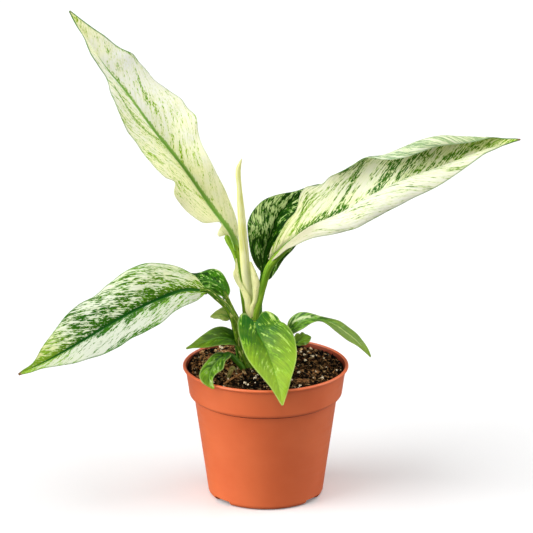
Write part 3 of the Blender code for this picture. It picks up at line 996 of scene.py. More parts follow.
    def relief(self, sheet: Sheet) -> Array:
        """Return how far the skin stands off its smooth sheet, by its groove, pleats and ripples.

        Args:
            sheet: The smooth sheet.

        Returns:
            A height in millimetres at each of its points.
        """
        s = sheet.s[None, :]
        taper = np.clip(1.1 - sheet.t, 0, 1)[:, None]
        half_groove = self.GROOVE_HALF[0] + self.GROOVE_HALF[1] * taper
        groove = -self.GROOVE_DEPTH * self.rib_depth * taper * np.exp(-(sheet.distance / half_groove) ** 2)
        shifted = sheet.phase + np.where(s > 0, self.pleat_spacing / 2, 0.0)
        ridge = np.abs(np.sin(np.pi * shifted / self.pleat_spacing)) ** self.PLEAT_POWER - self.PLEAT_MIDDLE
        inside = np.clip(sheet.distance / self.PLEATS_FROM, 0, 1)
        inside = inside * np.clip((1 - np.abs(s)) * self.MARGIN_FADE, 0, 1)
        ends = np.clip(np.minimum(sheet.t, 1 - sheet.t) * self.END_FADE, 0, 1)[:, None]
        rng = random.Random(self.seed)
        wave = np.zeros_like(sheet.phase)
        for side in Side:
            share = np.where(s * side.value > 0, np.abs(s) ** 3, 0.0)
            for pitch in self.ripple_pitches:
                turn = rng.uniform(0, TURN)
                swing = np.sin(TURN * sheet.length[:, None] / pitch + turn)
                wave += share * swing * pitch / self.ripple_pitches[0]
        return groove + self.pleat * ridge * inside * ends + self.ripple * wave * ends

    def add_places(self, mesh: Mesh, sheet: Sheet) -> None:
        """Store where each point lies on the leaf and among its veins.

        Args:
            mesh: The blade's mesh.
            sheet: Its smooth sheet.
        """
        corners = loop_vertices(mesh)
        length = np.broadcast_to(sheet.length[:, None], sheet.phase.shape)
        add_uv(mesh, "Leaf", np.stack([sheet.signed, length], axis=2).reshape(-1, 2)[corners])
        run = 0.5 * length + 0.8 * sheet.distance
        veins = np.stack([sheet.phase, run], axis=2).reshape(-1, 2)[corners]
        middle = sheet.s[corners % len(sheet.s)].reshape(-1, 4).mean(axis=1)
        veins[:, 0] += np.repeat(np.where(middle > 0, self.HALVES_APART, 0.0), 4)
        add_uv(mesh, "Veins", veins)

    def add_coat(self, mesh: Mesh, sheet: Sheet) -> None:
        """Store how each point is coloured.

        Args:
            mesh: The blade's mesh.
            sheet: Its smooth sheet.
        """
        shape = sheet.phase.shape
        columns = smooth_rows(self.coat, sheet.t).T
        left, right, yellow, tone, rib, line = (column[:, None] for column in columns)
        share = np.clip((sheet.signed / self.BLEND_HALF + 1) / 2, 0, 1)
        feather = self.feather * np.exp(-(sheet.distance / self.feather_reach) ** 1.5)
        green = left * (1 - share) + right * share + feather
        tone = tone - self.margin_light * np.abs(sheet.s)[None, :] ** 3 + feather
        # Painted shade over the pale parts: on the left half, and along the marks that carry it.
        dullness = self.left_painted_shade * (1 - share)
        for streak in self.streaks:
            mark = streak.strength(sheet)
            green = green + streak.green * mark
            tone = tone + streak.tone * mark
            dullness = dullness + streak.painted_shade * mark
        yellow = yellow * (1 + (self.right_yellow - 1) * share)
        rib = np.broadcast_to(np.maximum(rib, 0) / MM_PER_CM, shape)
        add_channels(mesh, "Coat", green, yellow, rib)
        add_channels(mesh, "Tone", tone, np.clip(dullness, 0, 1), np.zeros(shape))
        to_tip = (sheet.length[-1] - sheet.length)[:, None]
        scorch = np.broadcast_to(np.clip(1 - to_tip / self.scorch_length, 0, 1), shape)
        to_margin = (sheet.widths - sheet.distance) / MM_PER_CM
        add_channels(mesh, "Edge", to_margin, np.broadcast_to(line, shape), scorch)

    def mark_rib(self, obj: Object, sheet: Sheet) -> None:
        """Mark where the blade is thick: at the rib under its midrib.

        Args:
            obj: The blade.
            sheet: Its smooth sheet.
        """
        taper = np.clip(1.15 - sheet.t, 0.1, 1)[:, None]
        half_rib = self.RIB_HALF[0] + self.RIB_HALF[1] * taper
        weight = np.exp(-(sheet.distance / half_rib) ** 2) * taper
        group = obj.vertex_groups.new(name="rib")
        for index, value in enumerate(weight.reshape(-1)):
            if value > self.LEAST_WEIGHT:
                group.add([index], float(value), "REPLACE")

    def solidify(self, obj: Object) -> None:
        """Give the sheet its thickness, below its upper side.

        Args:
            obj: The blade.
        """
        full = self.thickness + self.rib_depth
        skin = obj.modifiers.new("Thickness", "SOLIDIFY")
        skin.thickness = full * MM
        skin.offset = -1.0
        skin.vertex_group = "rib"
        skin.thickness_vertex_group = self.thickness / full
        skin.material_offset = 1
        skin.use_even_offset = False
        apply_modifiers(obj)
        shade_smooth(obj, 60)
        obj.vertex_groups.clear()


# ---- Stalks and the new leaf ----

def lay_tube(name: str, spine: Array, open_to: tuple, angle: Array, across: Array,
             upward: Array, girth: float) -> Object:
    """Roll a grid into a tube along a spine, with its seam merged and its ends capped.

    Args:
        name: The object's name.
        spine: Points along its middle, in millimetres.
        open_to: The way that its upper side faces.
        angle: The angle of each column around the spine.
        across: How far each point lies to the side of the spine.
        upward: How far each point lies above the spine.
        girth: The radius that the UV map "Stem" counts with.

    Returns:
        The tube.
    """
    side, up = cross_axes(unit(np.gradient(spine, axis=0)), open_to)
    points = spine[:, None, :] + across[:, :, None] * side[:, None, :] + upward[:, :, None] * up[:, None, :]
    obj = lay_grid(name, points[:, ::-1])
    stem = np.stack(np.broadcast_arrays(angle[None, ::-1] * girth, run_length(spine)[:, None]), axis=2)
    add_uv(obj.data, "Stem", stem.reshape(-1, 2)[loop_vertices(obj.data)])
    with edit_mode(obj):
        bpy.ops.mesh.remove_doubles(threshold=0.01 * MM)
        bpy.ops.mesh.fill_holes(sides=0)
        bpy.ops.mesh.normals_make_consistent(inside=False)
    shade_smooth(obj, 50)
    return obj


@dataclass(frozen=True)
class Stalk:
    """A leaf stalk through a route in millimetres, from the crown up.

    channel is how deep the groove along its upper side is, as a share of its radius. It faces
    the way that open_to points. Each row of profile is a share of the stalk's length, and how many
    times its radius it is wide across that side and deep towards it there.
    """

    name: str
    node: str
    route: tuple
    base_radius: float
    top_radius: float
    finish: StalkFinish
    open_to: tuple = (0.0, 0.0, 1.0)
    channel: float = 0.35
    profile: tuple = ((0.0, 1.25, 1.0), (0.4, 1.1, 1.0), (1.0, 1.0, 1.0))
    around: int = 40
    along: int = 70

    CHANNEL_ANGLE = 0.55
    FOOT_SWELL = 0.35
    FOOT_REACH = 0.12

    def build(self) -> None:
        """Make the stalk and dress it."""
        t = np.linspace(0, 1, self.along + 1)
        angle = np.linspace(0, TURN, self.around + 1)
        groove = 1 - self.channel * np.exp(-((angle - np.pi / 2) / self.CHANNEL_ANGLE) ** 2)
        shares, wide, deep = np.array(self.profile).T
        across = (self.radius(t) * np.interp(t, shares, wide))[:, None] * (np.cos(angle) * groove)[None, :]
        upward = (self.radius(t) * np.interp(t, shares, deep))[:, None] * (np.sin(angle) * groove)[None, :]
        obj = lay_tube(self.name, smooth_rows(self.route, t), self.open_to, angle, across, upward,
                       self.base_radius)
        place_piece(obj, "stalk", [self.node], self.finish.build())

    def radius(self, t: Array) -> Array:
        """Return the radius along the stalk, swollen at its foot."""
        foot = self.FOOT_SWELL * self.base_radius * np.exp(-(t / self.FOOT_REACH) ** 2)
        return self.base_radius + (self.top_radius - self.base_radius) * t + foot


@dataclass(frozen=True)
class Spear:
    """The new leaf, still rolled up: a tapering roll with a lip along it.

    Each place on its route is an (x, y, z) and its radius there, in millimetres.
    """

    finish: StalkFinish
    route: tuple = (
        (-8.5, 5.5, 93.4, 3.7), (-9.2, 6, 115, 3.7), (-9.8, 6, 133, 3.7), (-11, 5, 146, 3.6),
        (-13.4, 3.2, 160.5, 3.5), (-14.6, 2, 172, 3.5), (-15.6, 2.4, 185, 3.3), (-16.5, 3, 197, 3.1),
        (-17.3, 4, 209, 2.8), (-18, 4.8, 218, 2.4), (-18.6, 5.4, 227, 1.9), (-19.1, 6, 233, 1.8),
        (-19.6, 6.7, 238, 2.0), (-19.5, 7.3, 242.5, 1.8), (-18.4, 7.8, 246.5, 1.1), (-17, 8.2, 250, 0.25))
    lip: float = 0.16
    turns: float = 0.35
    start: float = 4.0
    around: int = 64
    along: int = 220

    def build(self) -> None:
        """Roll the new leaf up and dress it."""
        t = np.linspace(0, 1, self.along + 1)
        rows = smooth_rows(self.route, t)
        angle = np.linspace(0, TURN, self.around + 1)
        roll = rows[:, 3:] * (1 + self.lip * (angle / TURN - 0.5))[None, :]
        turned = angle[None, :] + TURN * self.turns * t[:, None] + self.start
        obj = lay_tube("new_leaf_spear", rows[:, :3], (0.0, -1.0, 0.0), angle, roll * np.cos(turned),
                       roll * np.sin(turned), rows[:, 3].max())
        place_piece(obj, "cream_leaf", ["new_leaf"], self.finish.build())


# ---- Pot ----

@dataclass
class Pot:
    """The moulded pot: a beaded rim, a band, a curved step, a tapering body and a foot ring."""

    height: float = 98.0
    rim_radius: float = 60.0
    lip: float = 1.2
    band_top_radius: float = 57.8
    band_top_z: float = 94.6
    band_bottom_radius: float = 55.5
    band_bottom_z: float = 78.0
    step_round: float = 3.4
    body_top_radius: float = 51.8
    body_bottom_radius: float = 41.9
    foot_round: float = 4.0
    foot_height: float = 4.0
    foot_inner_radius: float = 35.0
    wall: float = 1.1
    notch_angles: tuple = (-140.0, -34.0, 93.0)
    notch_size: tuple = (24.0, 16.0, 6.8)
    drain_count: int = 6
    drain_radius: float = 3.5
    drain_circle: float = 24.0
    drill_depth: float = 8.0
    sides: int = 144
    finish: PlasticFinish = PlasticFinish()
    # Painted shade: a darker plastic on the inner wall below the rim, where shade falls.
    painted_inner_shade: PlasticFinish = PlasticFinish(
        "painted_inner_shade_plastic", paint(166, 68, 36), paint(124, 46, 22), 0.6, 0.3)

    @property
    def step_z(self) -> float:
        """The height of the step's underside."""
        return self.band_bottom_z - self.step_round

    @property
    def floor_z(self) -> float:
        """The height of the floor inside."""
        return self.foot_height + self.wall

    def inner_radius(self, z: float) -> float:
        """Return the radius of the inner wall.

        Args:
            z: The height.

        Returns:
            The radius there.
        """
        if z < self.step_z:
            slope = (self.body_top_radius - self.body_bottom_radius) / (self.step_z - self.foot_round)
            return self.body_bottom_radius + slope * (z - self.foot_round) - self.wall
        share = (z - self.band_bottom_z) / (self.band_top_z - self.band_bottom_z)
        return self.band_bottom_radius + share * (self.band_top_radius - self.band_bottom_radius) - self.wall

    @staticmethod
    def arc(outer: float, z: float, radius: float, start: float, end: float, steps: int) -> list[tuple]:
        """Return points on a round that reaches out to a radius at a height, between two angles."""
        angles = np.radians(np.linspace(start, end, steps))
        return [(outer - radius + radius * math.cos(a), z + radius * math.sin(a)) for a in angles]

    def profile(self) -> list[tuple]:
        """Return the closed section of the pot's wall.

        Returns:
            Places (radius, height), from the middle of the floor inside to its underside.
        """
        floor = self.inner_radius(self.floor_z)
        inside = [(0.0, self.floor_z), (floor - 2.0, self.floor_z), (floor, self.floor_z + 2.0),
                  (self.inner_radius(self.step_z - 2.0), self.step_z - 2.0),
                  (self.inner_radius(self.step_z + 1.0), self.step_z + 1.5),
                  (self.inner_radius(self.band_top_z), self.band_top_z)]
        lip = self.arc(self.rim_radius, self.height - self.lip, self.lip, 180, -65, 15)
        band = [(self.band_top_radius + 0.25, self.band_top_z + 0.35),
                (self.band_top_radius, self.band_top_z - 0.5)]
        step = self.arc(self.band_bottom_radius, self.band_bottom_z, self.step_round, 0, -82, 9)
        body = [(self.body_top_radius + 0.15, self.step_z + 0.05), (self.body_top_radius, self.step_z - 0.5)]
        foot = self.arc(self.body_bottom_radius, self.foot_round, self.foot_round, 0, -90, 9)
        ring = [(self.foot_inner_radius + 0.3, 0.0), (self.foot_inner_radius, 0.3),
                (self.foot_inner_radius, self.foot_height), (0.0, self.foot_height)]
        return inside + lip + band + step + body + foot + ring

    def build(self) -> None:
        """Spin the section, cut the notches and drain holes, and dress the pot."""
        obj = add_primitive("circle", "pot_shell", vertices=3, radius=1.0)
        mesh = obj.data
        section = [Vector((r, 0.0, z)) * MM for r, z in self.profile()]
        mesh.clear_geometry()
        mesh.from_pydata(section, [(i, i + 1) for i in range(len(section) - 1)], [])
        with edit_mode(obj):
            bpy.ops.mesh.spin(steps=self.sides, angle=TURN, center=(0, 0, 0), axis=(0, 0, 1))
            bpy.ops.mesh.select_all(action="SELECT")
            bpy.ops.mesh.remove_doubles(threshold=0.001 * MM)
            bpy.ops.mesh.normals_make_consistent(inside=False)
        self.cut_openings(obj)
        shade_smooth(obj, 38)
        for finish in (self.finish, self.painted_inner_shade):
            mesh.materials.append(finish.build())
        # The inward faces below the rim take the painted shade.
        for face in mesh.polygons:
            spot = face.center / MM
            inward = face.normal.x * spot.x + face.normal.y * spot.y < 0
            if inward and self.floor_z < spot.z < self.height - 0.6 * self.lip:
                face.material_index = 1
        place_piece(obj, "terracotta_plastic", ["pot"])

    def cut_openings(self, obj: Object) -> None:
        """Cut the notches in the foot ring and the holes in the floor.

        Args:
            obj: The pot.
        """
        cutters = []
        for degrees in self.notch_angles:
            cutter = add_primitive("cube", "notch", size=1.0)
            turn = Matrix.Rotation(math.radians(degrees), 4, "Z")
            place = turn @ Matrix.Translation((self.body_bottom_radius * MM, 0, 0))
            cutter.data.transform(place @ Matrix.Diagonal((*[v * MM for v in self.notch_size], 1.0)))
            cutters.append(cutter)
        for index in range(self.drain_count):
            cutter = add_primitive("cylinder", "drain", vertices=32, radius=self.drain_radius * MM,
                                   depth=self.drill_depth * MM)
            angle = TURN * (index + 0.5) / self.drain_count
            spot = Vector((self.drain_circle * math.cos(angle), self.drain_circle * math.sin(angle),
                           self.foot_height))
            cutter.data.transform(Matrix.Translation(spot * MM))
            cutters.append(cutter)
        for cutter in cutters:
            step = obj.modifiers.new("Cut", "BOOLEAN")
            step.operation = "DIFFERENCE"
            step.object = cutter
        apply_modifiers(obj)
        for cutter in cutters:
            bpy.data.objects.remove(cutter, do_unlink=True)


# ---- Studio ----

def heading_vector(heading: float, height: float) -> Vector:
    """Return the way to a heading and a height.

    Args:
        heading: Degrees from +X towards +Y.
        height: Degrees above the floor.

    Returns:
        A vector of length 1.
    """
    heading, height = math.radians(heading), math.radians(height)
    flat = math.cos(height)
    return Vector((flat * math.cos(heading), flat * math.sin(heading), math.sin(height)))


@dataclass(frozen=True)
class Lamp:
    """A broad soft lamp far away, which shines from a heading and a height in degrees."""

    name: str
    heading: float
    height: float
    spread: float
    strength: float

    def build(self) -> None:
        """Add the lamp."""
        bpy.ops.object.light_add(type="SUN")
        light = bpy.context.object
        light.name = self.name
        light.data.energy = self.strength
        light.data.angle = math.radians(self.spread)
        source = heading_vector(self.heading, self.height)
        light.location = source * 2.0
        light.rotation_euler = (-source).to_track_quat("-Z", "Y").to_euler()


@dataclass
class Studio:
    """Camera, floor, world and lamps."""

    target: tuple = (0.0006, 0.0, 0.1717)
    distance: float = 3.0
    elevation: float = 17.56
    lens: float = 281.9
    sensor: float = 36.0
    view_end: float = 30.0
    floor_size: float = 12.0
    floor_seen: Colour = paint(254, 254, 254)
    floor_bounced: Colour = paint(134, 134, 134)
    floor_glow: float = 0.06
    floor_roughness: float = 0.35
    world_strength: float = 0.28
    lamps: tuple = (
        Lamp("key", -160.0, 26.0, 60.0, 3.4),
        Lamp("fill", 3.0, 28.0, 60.0, 1.6),
        Lamp("front", -95.0, 66.0, 50.0, 0.75))

    def build(self) -> None:
        """Set up the whole studio."""
        self.add_camera()
        self.add_floor()
        self.add_world()
        for lamp in self.lamps:
            lamp.build()
        bpy.context.scene.view_settings.view_transform = "Standard"

    def add_camera(self) -> None:
        """Add the camera and make it the scene's own."""
        angle = math.radians(self.elevation)
        away = Vector((0.0, -math.cos(angle), math.sin(angle))) * self.distance
        bpy.ops.object.camera_add(location=Vector(self.target) + away)
        camera = bpy.context.object
        camera.rotation_euler = (-away).to_track_quat("-Z", "Y").to_euler()
        camera.data.lens = self.lens
        camera.data.sensor_width = self.sensor
        camera.data.clip_end = self.view_end
        bpy.context.scene.camera = camera

    def add_floor(self) -> None:
        """Add the white floor, which keeps a soft shadow."""
        floor = add_primitive("plane", "floor", size=self.floor_size)
        made, bench, shader = new_material("white_floor")
        seen = bench.node("ShaderNodeLightPath").outputs["Is Camera Ray"]
        for name, value in (("Base Color", bench.blend(seen, self.floor_bounced, self.floor_seen)),
                            ("Roughness", self.floor_roughness), ("Emission Color", WHITE),
                            ("Emission Strength", bench.times(seen, self.floor_glow))):
            bench.put(shader.inputs[name], value)
        floor.data.materials.append(made)

    def add_world(self) -> None:
        """Light the scene evenly from all around."""
        world = bpy.data.worlds.new("studio")
        world.use_nodes = True
        background = world.node_tree.nodes["Background"]
        background.inputs["Color"].default_value = WHITE
        background.inputs["Strength"].default_value = self.world_strength
        bpy.context.scene.world = world


# ---- Soil and what lies on it ----

def crumble(place: Vector, size: float, seed: float) -> float:
    """Return a rough height between about -1 and 1 for crumbs of a size in millimetres."""
    spot = place / size + Vector((seed, seed * 1.7, 0.0))
    return noise.noise(spot) + 0.5 * noise.noise(spot * 2.3) + 0.25 * noise.noise(spot * 5.1)


def heap(x: float, y: float, rows: tuple) -> float:
    """Return the sum of round heaps at a place.

    Args:
        x: The place's x in millimetres.
        y: Its y.
        rows: For each heap its x and y, its height and the square of its reach.

    Returns:
        The sum at the place.
    """
    return sum(rise * math.exp(-((x - x0) ** 2 + (y - y0) ** 2) / reach) for x0, y0, rise, reach in rows)


@dataclass
class Soil:
    """The potting soil, with a crumbly top that has mounds and a hollow.

    Its loose grains are painted paler by one wall, as painted light, and darker in front, as painted shade.
    """

    pot: Pot
    edge_z: float = 94.0
    crown_z: float = 94.6
    gap: float = 0.3
    cells: int = 150
    clod: float = 7.0
    clod_height: float = 1.2
    crumb: float = 2.8
    crumb_height: float = 1.1
    step_levels: tuple = (2.2, -2.0, -3.0)
    mounds: tuple = ((-44, 20, 3.0, 600), (30, 24, 0.8, 700), (-14, -12, 2.4, 50), (-31, -18, -3.0, 100))
    # Painted light makes the grains paler by the left wall, and painted shade makes them darker in front.
    painted_light_patches: tuple = ((-44, 8, 6.5, 700), (-10, -36, -0.95, 1000))
    finish: EarthFinish = EarthFinish("peat", paint(7, 4, 2), paint(62, 38, 18), 420.0, 0.3)

    @property
    def top_radius(self) -> float:
        """The radius of the soil's top."""
        return self.pot.inner_radius(self.edge_z) - self.gap

    def height(self, x: float, y: float) -> float:
        """Return the height of the soil's top.

        Args:
            x: The place's x in millimetres.
            y: Its y.

        Returns:
            The height there in millimetres.
        """
        away = min(math.hypot(x, y) / self.top_radius, 1.0)
        dome = self.crown_z - (self.crown_z - self.edge_z) * away ** 2
        place = Vector((x, y, 0.0))
        rough = self.clod_height * crumble(place, self.clod, 3.1)
        rough += self.crumb_height * abs(crumble(place, self.crumb, 8.3))
        return dome + heap(x, y, self.mounds) + rough

    def painted_light(self, x: float, y: float) -> float:
        """Return how much paler the loose grains are painted at a place: painted light by one wall, painted
        shade in front.
        """
        return 1.0 + heap(x, y, self.painted_light_patches)

    def build(self) -> None:
        """Make the closed body of soil with its crumbly top."""
        x, y = np.meshgrid(*[np.linspace(-1, 1, self.cells + 1)] * 2)
        points = np.zeros((*x.shape, 3))
        points[:, :, 0] = x * np.sqrt(1 - y ** 2 / 2) * self.top_radius
        points[:, :, 1] = y * np.sqrt(1 - x ** 2 / 2) * self.top_radius
        for point in points.reshape(-1, 3):
            point[2] = self.height(point[0], point[1])
        obj = lay_grid("soil_body", points)
        with edit_mode(obj):
            bpy.ops.mesh.select_mode(type="EDGE")
            bpy.ops.mesh.select_non_manifold(extend=False)
            above, below, low = (self.pot.step_z + rise for rise in self.step_levels)
            floor = self.pot.floor_z + self.gap
            for z, level in ((above, below), (low, low), (floor, floor)):
                bpy.ops.mesh.extrude_edges_move()
                bpy.ops.object.mode_set(mode="OBJECT")
                reach = self.pot.inner_radius(level) - self.gap
                for vertex in obj.data.vertices:
                    if vertex.select:
                        flat = Vector((vertex.co.x, vertex.co.y, 0.0)).normalized() * reach * MM
                        vertex.co = Vector((flat.x, flat.y, z * MM))
                bpy.ops.object.mode_set(mode="EDIT")
            bpy.ops.mesh.edge_face_add()
            bpy.ops.mesh.select_all(action="SELECT")
            bpy.ops.mesh.normals_make_consistent(inside=False)
        shade_smooth(obj, 50)
        place_piece(obj, "potting_soil", ["soil"], self.finish.build())


@dataclass(frozen=True)
class Grain:
    """One kind of loose grain, modelled in a few shapes and scattered in many copies."""

    name: str
    count: int
    sizes: tuple
    proportions: tuple
    roughness: float
    sink: float
    finish: EarthFinish
    seed: int = 5
    variants: int = 5
    reach: float = 55.0
    smallness: float = 2.2
    dullness: float = 1.5
    most_tip: float = 0.5
    lump_scale: float = 1.3
    warm_rarity: float = 4

    def shapes(self) -> list[tuple[Array, list]]:
        """Model the grain's shapes, about 1 mm in radius.

        Returns:
            The points and faces of each.
        """
        made = []
        for variant in range(self.variants):
            ball = add_primitive("uv_sphere", "grain", segments=6, ring_count=4, radius=1.0)
            points = []
            for vertex in ball.data.vertices:
                spot = vertex.co * self.lump_scale + Vector((variant * 9.1 + self.seed, 0, 0))
                lump = 1 + self.roughness * (noise.noise(spot) + 0.6 * noise.noise(spot * 2.7))
                points.append([value * lump * share for value, share in zip(vertex.co, self.proportions)])
            made.append((np.array(points), [list(face.vertices) for face in ball.data.polygons]))
            bpy.data.objects.remove(ball, do_unlink=True)
        return made

    def lie(self, rng: random.Random) -> Array:
        """Return a random turn, any way round but tipped only a little.

        Args:
            rng: The source of chance.

        Returns:
            The turn as a 3 by 3 matrix.
        """
        turns = [Matrix.Rotation(rng.uniform(0, TURN), 3, "Z")]
        turns += [Matrix.Rotation(rng.uniform(-self.most_tip, self.most_tip), 3, axis) for axis in "XY"]
        return np.array(turns[0] @ (turns[1] @ turns[2]))

    def build(self, soil: Soil) -> None:
        """Scatter the grain over the soil.

        Args:
            soil: The soil.
        """
        rng = random.Random(self.seed)
        shapes = self.shapes()
        shells, shades = [], []
        while len(shells) < self.count:
            x, y = rng.uniform(-self.reach, self.reach), rng.uniform(-self.reach, self.reach)
            size = self.sizes[0] + (self.sizes[1] - self.sizes[0]) * rng.random() ** self.smallness
            if math.hypot(x, y) + size * 0.5 > self.reach:
                continue
            points, faces = rng.choice(shapes)
            turned = points @ self.lie(rng).T * size / 2
            z = soil.height(x, y) + size * self.proportions[2] * (0.5 - self.sink)
            shells.append((turned + np.array([x, y, z]), faces))
            # Painted light and shade: each grain's shade is scaled by the soil's painted light at its place.
            shade = min(rng.random() ** self.dullness * soil.painted_light(x, y), 1.0)
            shades.append([shade, rng.random() ** self.warm_rarity, 0.0])
        obj = merged_object(self.name, shells, smooth=False)
        add_channels(obj.data, "Grain", *np.repeat(np.array(shades), len(shapes[0][0]), axis=0).T)
        place_piece(obj, "potting_soil", [], self.finish.build())


@dataclass(frozen=True)
class Fibres:
    """Thin bent fibres of peat, scattered in many copies."""

    name: str = "peat_fibres"
    count: int = 280
    lengths: tuple = (3.0, 10.0)
    radius: float = 0.2
    most_bend: float = 0.35
    most_kink: float = 0.15
    segments: int = 8
    around: int = 5
    reach: float = 50.0
    seed: int = 23
    finish: EarthFinish = EarthFinish("fibre", paint(104, 70, 38), paint(206, 162, 102), 700.0, 0.6)

    def build(self, soil: Soil) -> None:
        """Lay the fibres on the soil.

        Args:
            soil: The soil.
        """
        rng = random.Random(self.seed)
        taper = np.sin(np.pi * (np.arange(self.segments + 1) + 0.6) / (self.segments + 1.2))
        shells = []
        for _ in range(self.count):
            away = self.reach * math.sqrt(rng.random())
            turn = rng.uniform(0, TURN)
            place = np.array([away * math.cos(turn), away * math.sin(turn)])
            heading = rng.uniform(0, TURN)
            bend = rng.uniform(-self.most_bend, self.most_bend)
            length = rng.uniform(*self.lengths)
            spine = []
            for _ in range(self.segments + 1):
                spine.append([*place, soil.height(*place) + self.radius])
                heading += bend + rng.uniform(-self.most_kink, self.most_kink)
                place = place + length / self.segments * np.array([math.cos(heading), math.sin(heading)])
                place *= min(1.0, self.reach / max(float(np.hypot(*place)), 1.0))
            spine = np.array(spine)
            spine[:, 2] = 0.5 * spine[:, 2] + 0.5 * spine[:, 2].max()
            shells.append(tube_shell(spine, self.radius * (0.3 + 0.7 * taper), self.around))
        obj = merged_object(self.name, shells)
        place_piece(obj, "potting_soil", [], self.finish.build())


@dataclass
class Litter:
    """The crown's lumpy foot, the twig and the bark chips, which lie on the soil."""

    soil: Soil
    wood: EarthFinish = EarthFinish("wood", paint(104, 66, 36), paint(200, 144, 88), 700.0, 0.5)
    crown: EarthFinish = EarthFinish("crown_skin", paint(52, 44, 22), paint(112, 116, 56), 500.0, 0.5)
    crown_size: tuple = (0.0135, 0.0135, 0.0075)
    twig_route: tuple = ((-30, -41, 96.4), (-24.5, -32.5, 97.5), (-17, -23, 98.4))
    twig_radius: float = 0.85
    twig_bumps: float = 0.15
    twig_end: float = 0.5
    crown_lumps: tuple = (0.10, 0.05)
    chip_count: int = 5
    chip_cuts: int = 7
    chip_rounding: float = 0.6
    chip_lumps: float = 0.35
    chip_share: float = 0.95
    chip_lift: float = 0.25

    def build(self) -> None:
        """Make all the pieces."""
        self.add_crown()
        self.add_twig()
        for number in range(1, self.chip_count + 1):
            self.add_chip("bark_chip_%d" % number, number)

    def add_crown(self) -> None:
        """Make the short thick stem that the stalks grow from."""
        low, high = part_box("rhizome")
        obj = add_primitive("uv_sphere", "crown", segments=72, ring_count=36, radius=1.0)
        for vertex in obj.data.vertices:
            spot = vertex.co * 4.0
            lump = 1 + self.crown_lumps[0] * noise.noise(spot) + self.crown_lumps[1] * noise.noise(spot * 3)
            vertex.co = vertex.co * Vector(self.crown_size) * lump + (low + high) / 2
            vertex.co.z = min(vertex.co.z, high.z + MM)
        select_only(obj)
        bpy.ops.object.shade_smooth()
        place_piece(obj, "bark", ["rhizome"], self.crown.build())

    def add_twig(self) -> None:
        """Make the bent twig that lies on the soil."""
        spine = smooth_rows(self.twig_route, np.linspace(0, 1, 40))
        rng = random.Random(3)
        radius = np.array([self.twig_radius + self.twig_bumps * rng.uniform(-1, 1) for _ in spine])
        radius[0] = radius[-1] = self.twig_end
        obj = merged_object("fallen_twig", [tube_shell(spine, radius, 12)])
        place_piece(obj, "bark", ["twig"], self.wood.build())

    def add_chip(self, node: str, number: int) -> None:
        """Make one flat, worn chip of bark where its solid lies.

        Args:
            node: The solid's name.
            number: Which chip it is, which shapes its lumps.
        """
        low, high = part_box(node)
        middle, size = (low + high) / 2, high - low
        middle.z = self.soil.height(middle.x / MM, middle.y / MM) * MM + self.chip_lift * size.z
        obj = add_primitive("cube", "worn_" + node, size=1.0)
        with edit_mode(obj):
            bpy.ops.mesh.subdivide(number_cuts=self.chip_cuts, smoothness=self.chip_rounding)
        for vertex in obj.data.vertices:
            spot = vertex.co * 2.2 + Vector((number * 5.3, 0, 0))
            lump = 1 + self.chip_lumps * noise.noise(spot)
            vertex.co = vertex.co * size * lump * self.chip_share + middle
        shade_smooth(obj, 50)
        place_piece(obj, "bark", [node], self.wood.build())


# ---- The plant's own shapes ----

TALL_SKIN = LeafFinish(
    "tall_leaf_skin", seed=1.0, cream=paint(255, 254, 200), veil=paint(222, 228, 136), veil_strength=0.25,
    light_green=paint(162, 204, 36), dark_green=paint(78, 146, 10), yellow_green=paint(182, 208, 40),
    green_yellowing=0.5, rib_light=paint(160, 206, 98), rib_dark=paint(78, 144, 46),
    rib_edge=paint(168, 200, 104), cap=0.15, specks=1.1, bands=1.0, streak_grain=(5.0, 2.2, 1.0),
    speck_grain=(7.0, 6.0, 1.0), band_grain=(1.6, 0.5, 1.0), scorch=0.2)
# The right leaf's grey is painted shade, laid on the pale near half by its stalk.
RIGHT_SKIN = LeafFinish(
    "right_leaf_skin", seed=4.0, white=paint(233, 234, 214), cream=paint(240, 240, 176),
    painted_shade=paint(196, 191, 160), light_green=paint(146, 188, 50), dark_green=paint(30, 94, 14),
    underside=paint(216, 234, 208), cap=0.12, streaks=1.2, specks=1.0, bands=1.1,
    streak_grain=(4.6, 0.9, 1.0), speck_grain=(7.0, 3.4, 1.0), band_grain=(1.5, 0.4, 1.0), scorch=1.0)
LOW_SKIN = LeafFinish(
    "low_leaf_skin", seed=9.0, white=paint(236, 240, 224), cream=paint(232, 236, 150),
    tint=paint(202, 222, 140), halo=0.25, veil=paint(196, 214, 160), light_green=paint(126, 182, 22),
    dark_green=paint(28, 92, 4), green_yellowing=0.5, rib_light=paint(96, 152, 52),
    rib_dark=paint(30, 92, 26), rib_edge=paint(26, 88, 16), streaks=1.3, specks=1.1, bands=1.0,
    streak_grain=(3.8, 1.3, 1.0), speck_grain=(7.5, 3.8, 1.0), band_grain=(1.2, 1.0, 1.0), scorch=1.0)
DARK_SKIN = LeafFinish(
    "dark_leaf_skin", seed=14.0, white=paint(222, 240, 164), cream=paint(176, 198, 80),
    tint=paint(126, 172, 50), halo=0.3, veil=paint(104, 156, 44), veil_strength=0.3,
    light_green=paint(80, 150, 14), dark_green=paint(14, 58, 3), rib_light=paint(70, 130, 30),
    rib_dark=paint(36, 92, 18), rib_edge=paint(20, 70, 6), cap=0.8, streaks=1.2, specks=1.1, blots=1.3,
    bands=0.8, mottle=1.6, streak_grain=(2.5, 1.5, 1.0), speck_grain=(6.0, 4.2, 1.0),
    band_grain=(1.0, 0.8, 1.0), gloss=0.1)
